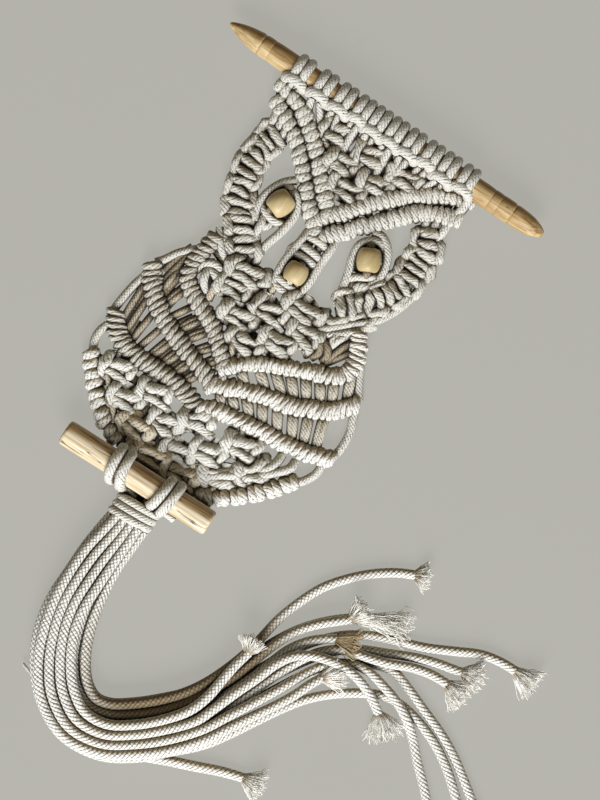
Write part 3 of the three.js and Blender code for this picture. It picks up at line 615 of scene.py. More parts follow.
# Of each tuft: how many fibres, their length and tangle in mm, how far they spread in radians, and how
# far the tuft turns from its cord in degrees.
plainTuft = {"fibres": 360, "length": 12, "spread": 0.62, "tangle": 9, "aside": 0}
cutTuft = {"fibres": 90, "length": 5, "spread": 0.35, "tangle": 3}
tufts = {
    "a": {"length": 9.5, "spread": 0.7}, "b": {"length": 9.5, "spread": 0.6, "aside": 20},
    "c": {"length": 12, "spread": 0.7, "aside": 24},
    "d": {"length": 25, "spread": 0.3, "tangle": 14, "aside": -14},
    "e": {"length": 14, "spread": 0.55, "aside": -14}, "f": {"length": 15, "spread": 0.5, "aside": -8},
    "g": {"length": 13, "spread": 0.6, "aside": 6}, "h": {"length": 14, "spread": 0.62, "aside": -10},
    "i": {"length": 15, "spread": 0.6, "aside": -6}, "j": {"length": 13, "spread": 0.6, "aside": -20},
    "k": {"length": 13, "spread": 0.6, "aside": -12}, "l": cutTuft, "m": cutTuft, "n": cutTuft,
}


def strandPoints(strand):
    points, last = [], len(bundle) - 1
    for row, (x, y, pitch) in enumerate(bundle[:strand.get("until", len(bundle))]):
        (x0, y0, _), (x1, y1, _) = bundle[max(row - 1, 0)], bundle[min(row + 1, last)]
        run = Vector((x1 - x0, y1 - y0)).normalized()
        first, final = strand["lanes"]
        lane = first + (final - first) * row / last + tail["wander"] * math.sin(1.3 * row + 7 * first)
        points.append((x + run.y * lane * pitch, y - run.x * lane * pitch))
    return lifted(points + strand["free"], layerHeight[strand["layer"]])


def eased(low, high, value):
    share = min(max((value - low) / (high - low), 0), 1)
    return share * share * (3 - 2 * share)


# The cords spread where the bundle turns, and are rounder on their own.
def spreadAt(row):
    return 0.98 + 0.13 * eased(2, 5, row) * (1 - eased(12, 15, row))


for number, (letter, strand) in enumerate(strands.items()):
    line = [at(*point) for point in smoothLine(strandPoints(strand))]
    hidden = line[0] + (line[0] - line[1]).normalized() * tail["underWrap"] / 1000
    shares = [1.0] + [spreadAt(step / lineParts) for step in range(len(line))]
    piece = grown("tailCord." + letter, curveObject("line", [[hidden] + line], [shares]), cordTree, {
        "Cord Width": tail["wide"] / 1000, "Sides": 14, "Step": 0.0016,
        "Material": cottons["TailShadedInTurn" if letter in tail["turnShade"] else "Tail"]})
    tip, run = line[-1], (line[-1] - line[-3]).normalized()
    tuft = plainTuft | tufts[letter]
    turn = math.atan2(run.y, run.x) + math.radians(tuft["aside"])
    fray = grown("tailTuft." + letter, curveObject("seat", [[Vector(), Vector((0.001, 0, 0))]]), frayTree, {
        "Fibres": tuft["fibres"], "Fibre Length": tuft["length"] / 1000, "Spread": tuft["spread"],
        "Tangle": tuft["tangle"] / 1000, "Cord Width": tail["cut"] / 1000, "Place": tip - run * 0.001,
        "Turn": (0, -math.asin(run.z), turn), "Seed": number,
        "Material": brownerFibre if letter == tail["brownerTuft"] else fibre})
    place(piece, "cotton_cord", "strand_" + letter)
    place(fray, "cotton_cord")
print("tail laid")


# A closed turned shape: rows of place along the axis and radius, both mm, its axis along x. A section
# that comes back to its first row is a ring.
def turnedPiece(name, node, slotName, rows, turn, sides, material, aside=0.0):
    low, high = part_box(node)
    verts, faces = [], []
    for along, radius in rows:
        for side in range(sides):
            angle = 2 * math.pi * side / sides
            verts.append(Vector((along, radius * math.cos(angle), radius * math.sin(angle))) / 1000)
    for row in range(len(rows) - 1):
        for side in range(sides):
            near, far, after = row * sides, (row + 1) * sides, (side + 1) % sides
            faces.append((near + side, near + after, far + after, far + side))
    if rows[0] == rows[-1]:
        verts = verts[:-sides]
        faces = [tuple(corner % len(verts) for corner in face) for face in faces]
    else:
        faces += [tuple(reversed(range(sides))), tuple(range(len(verts) - sides, len(verts)))]
    mesh = bpy.data.meshes.new(name)
    mesh.from_pydata(verts, [], faces)
    seat = (low + high) / 2 + Vector((aside / 1000, 0, 0))
    mesh.transform(Matrix.Translation(seat) @ Matrix.Rotation(math.radians(turn), 4, "Z"))
    mesh.update()
    working = bmesh.new()
    working.from_mesh(mesh)
    bmesh.ops.remove_doubles(working, verts=working.verts, dist=1e-6)
    bmesh.ops.recalc_face_normals(working, faces=working.faces)
    working.to_mesh(mesh)
    working.free()
    mesh.materials.append(material)
    mesh.shade_smooth()
    place(linkObject(name, mesh), slotName, node)


def rounded(rows):
    return [(point.x, point.y) for point in smoothLine(rows, 4)]


topDowel = {"tilt": -0.5, "rows": [
    (-103.2, 0.3), (-102.9, 0.9), (-98, 3.2), (-92, 4.9), (-86, 5.9), (-83.6, 6.15), (-82.9, 5.95),
    (-82.5, 5.55), (-82.1, 5.95), (-81.4, 6.2), (-76.6, 6.2), (-76.2, 6), (-75.8, 6.2), (-40, 6.2),
    (40, 6.2), (68.2, 6.2), (68.6, 6), (69, 6.2), (73.6, 6.2), (74, 6.05), (74.4, 6.2), (82, 6.2),
    (82.4, 5.95), (82.8, 5.55), (83.2, 5.9), (84, 6.1), (90, 5.9), (95, 5.2), (99, 3.9), (102, 2.4),
    (103, 1.6), (103.2, 0.6)
]}
turnedPiece("topDowelTurned", "top_dowel", "turned_wood", rounded(topDowel["rows"]), topDowel["tilt"], 40,
            turnedWood)

footDowel = {"tilt": 1.1, "endRows": [
    (-47, 0.4), (-47, 3), (-47, 5.6), (-46.6, 6.6), (-45.8, 7.15), (-44, 7.3), (-20, 7.3)]}
footRows = footDowel["endRows"] + [(-along, radius) for along, radius in reversed(footDowel["endRows"])]
turnedPiece("footDowelSawn", "foot_dowel", "sawn_wood", rounded(footRows), footDowel["tilt"], 40, sawnWood)

beads = {
    "bead_eye_left": {"across": 14.9, "along": 13.8, "turn": -20, "aside": 0.6},
    "bead_eye_right": {"across": 14.4, "along": 13.6, "turn": 26},
    "bead_beak": {"across": 13.8, "along": 12, "turn": 4},
}
boreRadius = 2.8
halfShare = 0.48               # half a bead, a little inside its solid
for node, size in beads.items():
    half, wide = size["along"] * halfShare, size["across"] * halfShare
    shoulder = [(-half + 0.5, boreRadius), (-half, boreRadius + 0.5), (-half, wide * 0.6),
                (-half * 0.93, wide * 0.74), (-half * 0.62, wide * 0.91)]
    other = [(-along, radius) for along, radius in reversed(shoulder)]
    profile = rounded(shoulder + [(0, wide)] + other + shoulder[:1])
    profile[-1] = profile[0]
    turnedPiece(node.title().replace("_", ""), node, "bead_wood", profile, size["turn"] + 90, 36, beadWood,
                size.get("aside", 0))
print("wood turned")


# The heading: lark's head knots on the top dowel, each at its x, and the y of the loop across its front.
headings = [(-55.5, 120), (-40.7, 120.3), (-27.7, 120.2), (-15.8, 121.4), (-5.2, 120.2), (5.7, 120.4),
            (17, 120.6), (29, 122), (40.2, 119.8), (52.4, 121)]
heading = {"axisY": 126, "axisZ": 9.6, "ringRadius": 7.2, "apart": 5.1, "cord": 5.4, "resting": 2.7,
           "belowShare": 0.93,
           "arc": (-60, 256, 15),     # degrees round the dowel: from, to and step
           "loop": [(-5.7, -0.9, 8), (-5.1, -0.3, 13), (-2.2, 0.1, 16.2), (1.8, 0, 16.3), (4.9, -0.5, 13.2),
                    (5.6, -1.2, 8)]}


def headingLines(x, crossing):
    lines = []
    for side in (-1, 1):
        ring = []
        for angle in range(*heading["arc"]):
            up, out = math.sin(math.radians(angle)), math.cos(math.radians(angle))
            reach = heading["ringRadius"] * (heading["belowShare"] if up < 0 else 1)
            ring.append((x + side * heading["apart"] / 2, heading["axisY"] + reach * up,
                         max(heading["axisZ"] + reach * out, heading["resting"])))
        lines.append(ring)
    return lines + [[(x + across, crossing + up, z) for across, up, z in heading["loop"]]]


for number, knot in enumerate(headings, 1):
    layCords(f"larksHead.{number:02d}", headingLines(*knot), [f"lark_head_{number:02d}"], look="OnDowel",
             wide=heading["cord"], step=1.4, widths=[1.0, 1.0, 1.12])
print("heading tied")


# Bars of double half hitches on a carrier. Of each: the carrier's line, the hitches' pitch in mm, how much
# nearer the two of one cord stand (pairing), how far they lean in degrees, the loose cord down the wing's
# edge, and the cords that run to the next bar, which are pairs (rungs) or single.
# The left wing's bars take a darker copy of the cotton, painted shade; the right wing's and the hems' a
# lighter copy, painted light, with stronger painted shade on the side turned from the window.
bars = {
    "brow_right_inner": {"pitch": 3.4, "lean": -4, "look": "HitchedBrow", "line": [(61.5, 119.5),
        (57, 117.5), (49, 114.5), (40, 109), (31, 103), (22, 94), (13, 84), (6, 75.5), (0.5, 69),
        (-3.5, 64.5)]},
    "brow_left_inner": {"pitch": 4.8, "pairing": 0.8, "lean": 20, "look": "Hitched",
        "line": [(-61.5, 115.5), (-57, 113.5), (-48, 111), (-40, 106.5), (-30, 99), (-20, 90), (-12, 81.5),
        (-4, 72.5), (-1.5, 69.5)]},
    "brow_right_outer": {"pitch": 3.4, "lean": -4, "look": "HitchedBrow", "line": [(60.5, 107), (56, 105),
        (46, 101.5), (37, 95), (28, 84.5), (19, 74.5), (11, 65.5), (4, 57.5)]},
    "brow_left_outer": {"pitch": 4.8, "pairing": 0.8, "lean": 20, "look": "Hitched", "line": [(-58.5, 106),
        (-54, 103.5), (-46, 99.5), (-38, 94), (-30, 87), (-22, 78.5), (-14, 70), (-5, 61.5), (-1.5, 58)]},
    "wing_right_upper": {"wide": 11.4, "pitch": 3.3, "lean": -20, "look": "HitchedLitAndShaded",
        "line": [(49, 24), (53.5, 18.5), (56.5, 11.5), (57, 4), (51, -3), (42, -6.5), (32, -10.5),
        (22, -15), (13, -19.5), (6, -24.5), (0, -30.5), (-2, -33)], "edge": [(57.5, 15), (62.5, 6),
        (66.5, -1), (70, -6)], "rungs": [(-1, -33, 2, -41), (6, -27, 13.5, -34), (14, -21, 24, -29.5),
        (23, -18, 33.5, -27), (31, -15, 40, -25), (39, -12, 46, -22), (46.5, -9, 53, -19),
        (52.5, -4, 58.5, -16), (57, 7, 64.5, -10)]},
    "wing_left_upper": {"wide": 11.2, "pitch": 3.7, "lean": 22, "look": "HitchedShaded",
        "line": [(-45.2, 24.5), (-46.2, 18), (-47, 10), (-46.5, 1), (-42, -5), (-35, -9.5), (-27, -12.5),
        (-19, -16.5), (-12, -22), (-5, -28.5), (-3, -30.5)], "edge": [(-49, 15), (-57, 7), (-62, -1),
        (-65, -4.5)], "rungs": [(-43.9, -8, -47.8, -21), (-27.3, -16, -34.3, -29), (-20.5, -20, -28, -31),
        (-12.5, -24.5, -19.5, -33), (-6.5, -28.5, -12, -37)], "single": [(-35, -14, -42, -26),
        (-52.4, -1, -53.2, -16)]},
    "wing_right_middle": {"wide": 12.2, "pitch": 3.3, "lean": -28, "look": "HitchedLitAndShaded",
        "line": [(69.5, -8.5), (66, -13.5), (60, -19.5), (50, -24.5), (40, -29), (30, -31.5), (20, -34.5),
        (10, -38), (1, -42.5), (-2, -44.5)], "edge": [(71, -12), (75.5, -23), (76.5, -33), (75.5, -38.5)],
        "rungs": [(4, -44, 9, -51), (10, -42, 16, -48), (18, -39, 25, -47), (26.5, -36, 33, -46.5),
        (35, -33.5, 42, -45.5), (43.5, -31, 51, -44.5), (51.5, -28, 58, -43.5), (59, -24, 65, -42)]},
    "wing_left_middle": {"wide": 12.2, "pitch": 3.4, "lean": 18, "look": "HitchedShaded", "line": [(-65, -7),
        (-61.6, -12.9), (-56.6, -18.9), (-50, -23.9), (-42, -28.4), (-33, -32.3), (-24, -35.6),
        (-14, -38.5), (-4.5, -41.5), (-2.5, -42.5)], "edge": [(-65.2, -12), (-67.6, -20.5), (-69, -30),
        (-69.6, -38), (-69.4, -43)], "rungs": [(-34, -34, -39, -50), (-26.4, -36, -31.2, -50),
        (-18.6, -38, -23, -50), (-11.5, -41, -16, -51)], "single": [(-63.4, -15, -62.4, -46),
        (-57.6, -20, -57.4, -48), (-50.4, -27, -52.2, -48), (-41.6, -30, -46.8, -49)]},
    "wing_right_lower": {"wide": 12.4, "pitch": 3.7, "lean": -30, "look": "HitchedLitAndShaded",
        "line": [(75, -41.5), (66, -44.5), (56, -46.8), (44, -48.8), (32, -49.8), (20, -51.4), (9, -53.6),
        (1, -56.8)], "edge": [(73, -44), (72.5, -53), (68, -61), (66, -62)]},
    "wing_left_lower": {"wide": 12.6, "pitch": 3.3, "lean": -16, "look": "HitchedShaded",
        "line": [(-67.2, -39.4), (-63.8, -45), (-57.8, -50), (-48, -52.8), (-38, -53.2), (-28, -53),
        (-18, -53.7), (-9, -55.6), (-4.5, -57.5)], "edge": [(-68, -47.5), (-69.6, -53), (-69.2, -58.5),
        (-66.8, -64)]},
    "hem_right": {"pitch": 4.5, "pairing": 0.8, "lean": 10, "look": "HitchedLitAndShaded", "line": [(65, -63),
        (57.5, -72), (50, -80), (43, -87), (34, -94), (26, -98)]},
    "hem_left": {"pitch": 4.9, "pairing": 0.8, "lean": 22, "look": "HitchedLitAndShaded", "line": [(-66.5, -66),
        (-59.5, -75), (-52, -82.5), (-45, -89), (-37, -94.5), (-30, -97.5)]},
}
barSize = {"wide": 10.7, "high": 8.6, "cord": 4.4, "middleZ": 4.3, "rung": 4.5, "apart": 2.3}


# A short cord that comes out from under one knot, rises a little and dives under the next.
def arched(x0, y0, x1, y1, low=2.6, high=4.4):
    return [(x0 + (x1 - x0) * t, y0 + (y1 - y0) * t, low + (high - low) * math.sin(math.pi * t))
            for t in (0, 0.25, 0.5, 0.75, 1)]


# Two cords side by side, nearer each other at the far end and one a little higher.
def paired(x0, y0, x1, y1):
    aside = Vector((y0 - y1, x1 - x0)).normalized() * barSize["apart"] / 2
    return [arched(x0 + side * aside.x, y0 + side * aside.y, x1 + side * aside.x * 0.7,
                   y1 + side * aside.y * 0.7, high=4.2 + side * 0.3) for side in (-1, 1)]


for number, (node, bar) in enumerate(bars.items()):
    source = curveObject("carrier", routed([bar["line"]], barSize["middleZ"]))
    piece = grown(node + ".hitches", source, hitchTree, {
        "Pitch": bar["pitch"] / 1000, "Pairing": bar.get("pairing", 0) / 1000,
        "Bar Width": bar.get("wide", barSize["wide"]) / 1000, "Bar Height": barSize["high"] / 1000,
        "Cord Width": barSize["cord"] / 1000, "Slant": math.radians(bar["lean"]), "Unevenness": 1.0,
        "Seed": number, "Material": cottons[bar["look"]]})
    place(piece, "cotton_cord", node)
    if "rungs" in bar:
        lines = [cord for rung in bar["rungs"] for cord in paired(*rung)]
        lines += [arched(*rung) for rung in bar.get("single", [])]
        # the rungs take darker copies, painted shade between the bars, darkest on the left wing
        layCords(node + ".rungs", lines, look="DeepShadedBetweenBars" if "left" in node else "ShadedBetweenBars",
                 wide=barSize["rung"])
    if "edge" in bar:
        layCords(node + ".edge", [bar["edge"]], rest=3.1)


# Cords that pass from one bar to the next below it, seen only as the dark between two bars; they are
# coloured a deep painted shade.
def crossingCords(side, count=13):
    upper, lower = (smoothLine(lifted(bars[f"brow_{side}_{row}"]["line"], 2.6), 8)
                    for row in ("inner", "outer"))
    places = [(number + 0.5) / count for number in range(count)]
    return [[upper[round(t * (len(upper) - 1))], lower[round(t * (len(lower) - 1))]] for t in places]


layCords("cordsBetweenBrows", crossingCords("right") + crossingCords("left"), look="DeepShaded")
print("bars hitched")


# Square knots: the tied cords of one knot seen from the front, and the fillers under them.
netKnot = {"cord": 5.9, "lines": [
    [(-5.2, 5.8, 1.2), (-7.2, 4.8, 4), (-8.2, 1.8, 6), (-8, -2, 6.1), (-6.9, -5.6, 4.2), (-5.4, -7.4, 1.4)],
    [(-7.2, 0.2, 1.6), (-5, 1.1, 4.7), (-1, 2.2, 5.8), (3, 3.4, 5.7), (6.4, 4.4, 4), (8.4, 4.3, 1.6)],
    [(-7.2, -2.9, 1.8), (-4.5, -3, 4.6), (0.2, -3.2, 5.6), (3.8, -3.8, 5.2), (7.2, -4.9, 3.6),
     (9.4, -6.2, 1.6)],
    [(6.4, 8.4, 2.2), (7.5, 5.6, 4.2), (8, 2.2, 4.9), (7.2, -0.8, 3.8), (5.6, -2.2, 1.6)],
    [(-2.7, 7.8, 2.6), (-2.6, 0, 3.4), (-2.8, -7.8, 2.6)],
    [(2.7, 7.8, 2.6), (2.6, 0, 3.4), (2.8, -7.8, 2.6)],
    [(-7, 7.2, 2.8), (-6.2, 4, 2.8)],
    [(6.4, -4, 2.8), (5.8, -8, 2.6)],
    [(-6.4, -5, 2.8), (-6, -8, 2.6)],
]}
ringKnot = {"cord": 5.3, "pitch": 11, "wide": 1.05, "lines": [
    [(-6, 5.9, 1.8), (-7.1, 4.4, 4.2), (-7.5, 0.6, 5.4), (-7, -3.6, 4.6), (-5.6, -5.4, 2)],
    [(-6.2, 3.6, 3.6), (-3.4, 3.3, 5.6), (0.6, 2.9, 6.2), (4, 2.3, 5.2), (6, 1.8, 3)],
    [(-6.2, -2, 3.8), (-3.4, -2.3, 5.7), (0.6, -2.8, 6.2), (4, -3.3, 5.2), (6, -3.8, 3)],
    [(4.8, 0.2, 2.2), (6.4, -1.4, 4.2), (7.1, -5.4, 4.9), (6.4, -9.2, 4.1), (4.8, -10.8, 2.2)],
    [(-2.6, 6, 2.6), (-2.6, 0, 3.2), (-2.6, -6, 2.6)],
    [(2.6, 6, 2.6), (2.6, 0, 3.2), (2.6, -6, 2.6)],
]}


def knotPattern(name, knot):
    lines = [[point / 1000 for point in smoothLine(line, 5)] for line in knot["lines"]]
    return grown(name, curveObject("lines", lines), cordTree, {
        "Cord Width": knot["cord"] / 1000, "Sides": 12, "Step": 0.0012, "Material": cottons[""]})


netPattern, ringPattern = knotPattern("netKnotPattern", netKnot), knotPattern("ringKnotPattern", ringKnot)


# Knots at places (x, y, turn in degrees, how wide) as one piece.
def layKnots(name, pattern, places, seed, look, nodes=()):
    mesh = bpy.data.meshes.new(name)
    mesh.from_pydata([at(x, y, 0) for x, y, turn, wide in places], [], [])
    for label, values in {"turn": [math.radians(turn) for x, y, turn, wide in places],
                          "wide": [wide for x, y, turn, wide in places]}.items():
        mesh.attributes.new(label, "FLOAT", "POINT").data.foreach_set("value", values)
    piece = grown(name, linkObject("places", mesh), netTree, {
        "Knot": pattern, "Unevenness": 1.6, "Seed": seed, "Material": cottons[look]})
    place(piece, "cotton_cord", *nodes)


# Of each net: rows of knots, with their y, the x of each, their turn and how wide; and the ends of the
# cords that show between knots.
nets = {
    "forehead_net": {"look": "Knotted", "rows": [(109.8, [-21.5, 1.5, 24], 0, 1.05),
        (97.2, [-9.5, 12], 4, 1.1), (86.8, [0.5], 6, 1.1)], "links": [(-33, 116, -30, 108),
        (-26, 103, -18, 99), (27, 105, 20, 101)]},
    "breast_net": {"look": "Knotted", "rows": [(18, [-19.5, 17.5], -2, 1.28),
        (7.5, [-21.5, 2, 25.5], -3, 1.08), (-4.2, [-10.5, 14.8], -4, 1.1), (-13.8, [0], -4, 1.1)],
        "links": [(-3.4, 24, -3.4, 11), (7, 24, 6.6, 11), (-31, 3, -30, -6), (-21, 0, -20, -9),
        (-5, -18, -2, -24), (3, -18, 2, -24), (16, -8, 18, -13), (22, -8, 25, -11)]},
    "belly_net": {"look": "Belly", "rows": [(-64.8, [-50, -25.5], 2, 1.03), (-64.4, [2.5], 9, 1.03),
        (-62.5, [30.5], 5, 1.08), (-75.4, [-37.5, -11.5, 16.5], 2, 1.03), (-70.5, [44], 36, 1.1),
        (-84.8, [3.2], 3, 1.05), (-83, [29.5], 32, 1.15)], "shadedRows": [(-86, [-24], -3, 1.1),
        (-94, [-8.5, 11], 0, 1.15)], "links": [(-22, -90, -22, -98), (22, -90, 22, -97), (-3, -96, 2, -99),
        (-17, -94, -22, -97), (19, -94, 24, -97), (-52, -71, -46, -77), (-35, -80, -30, -86),
        (-32, -88, -28, -97), (32, -86, 28, -96), (-14, -86, -14, -98), (13, -88, 16, -98),
        (0, -92, 1, -99), (-43, -80, -36, -90), (-50, -76, -42, -86)]},
}
# Shaded rows and the cords between knots take a darker copy, painted shade in the folds.
for number, (node, net) in enumerate(nets.items()):
    for suffix, rows, seed, look, replaced in (
            (".knots", net["rows"], 40, net["look"], [node]),
            (".shadedKnots", net.get("shadedRows", []), 50, "ShadedInTheFolds", [])):
        places = [(x, y, turn, wide) for y, row, turn, wide in rows for x in row]
        if places:
            layKnots(node + suffix, netPattern, places, seed + number, look, replaced)
    links = [arched(*link, 2.8, 3.4) for link in net["links"]]
    layCords(node + ".cords", links, look="ShadedInTheFolds", wide=4.9)

sinnets = {
    "face_ring_left": [(-48.5, 93), (-50, 83), (-51, 71), (-49.5, 60), (-45.5, 50.5), (-39.5, 42),
        (-32.5, 33.5), (-26, 26.5)],
    "face_ring_right": [(51, 93), (54.5, 83), (55.8, 72), (55.3, 62), (51.5, 52), (45.5, 44), (38.5, 36.5),
        (32, 29.5)],
}


# Places set evenly along a line, each turned so that its y runs back along the line.
def placesAlong(line, pitch):
    points = smoothLine(lifted(line, 0), 12)
    total = lineLength(points)
    count = round(total / pitch)
    places, run = [], 0.0
    wanted = [(number + 0.5) * total / count for number in range(count)]
    for start, end in zip(points, points[1:]):
        step = (end - start).length
        while wanted and run + step >= wanted[0]:
            spot = start.lerp(end, (wanted.pop(0) - run) / step)
            turn = math.degrees(math.atan2(start.y - end.y, start.x - end.x)) - 90
            places.append((spot.x, spot.y, turn, ringKnot["wide"]))
        run += step
    return places


for number, (node, line) in enumerate(sinnets.items()):
    places = placesAlong(line, ringKnot["pitch"])
    layKnots(node + ".knots", ringPattern, places, 60 + number, "Rings", [node])
for pattern in (netPattern, ringPattern):
    bpy.data.objects.remove(pattern)
print("nets and rings knotted")


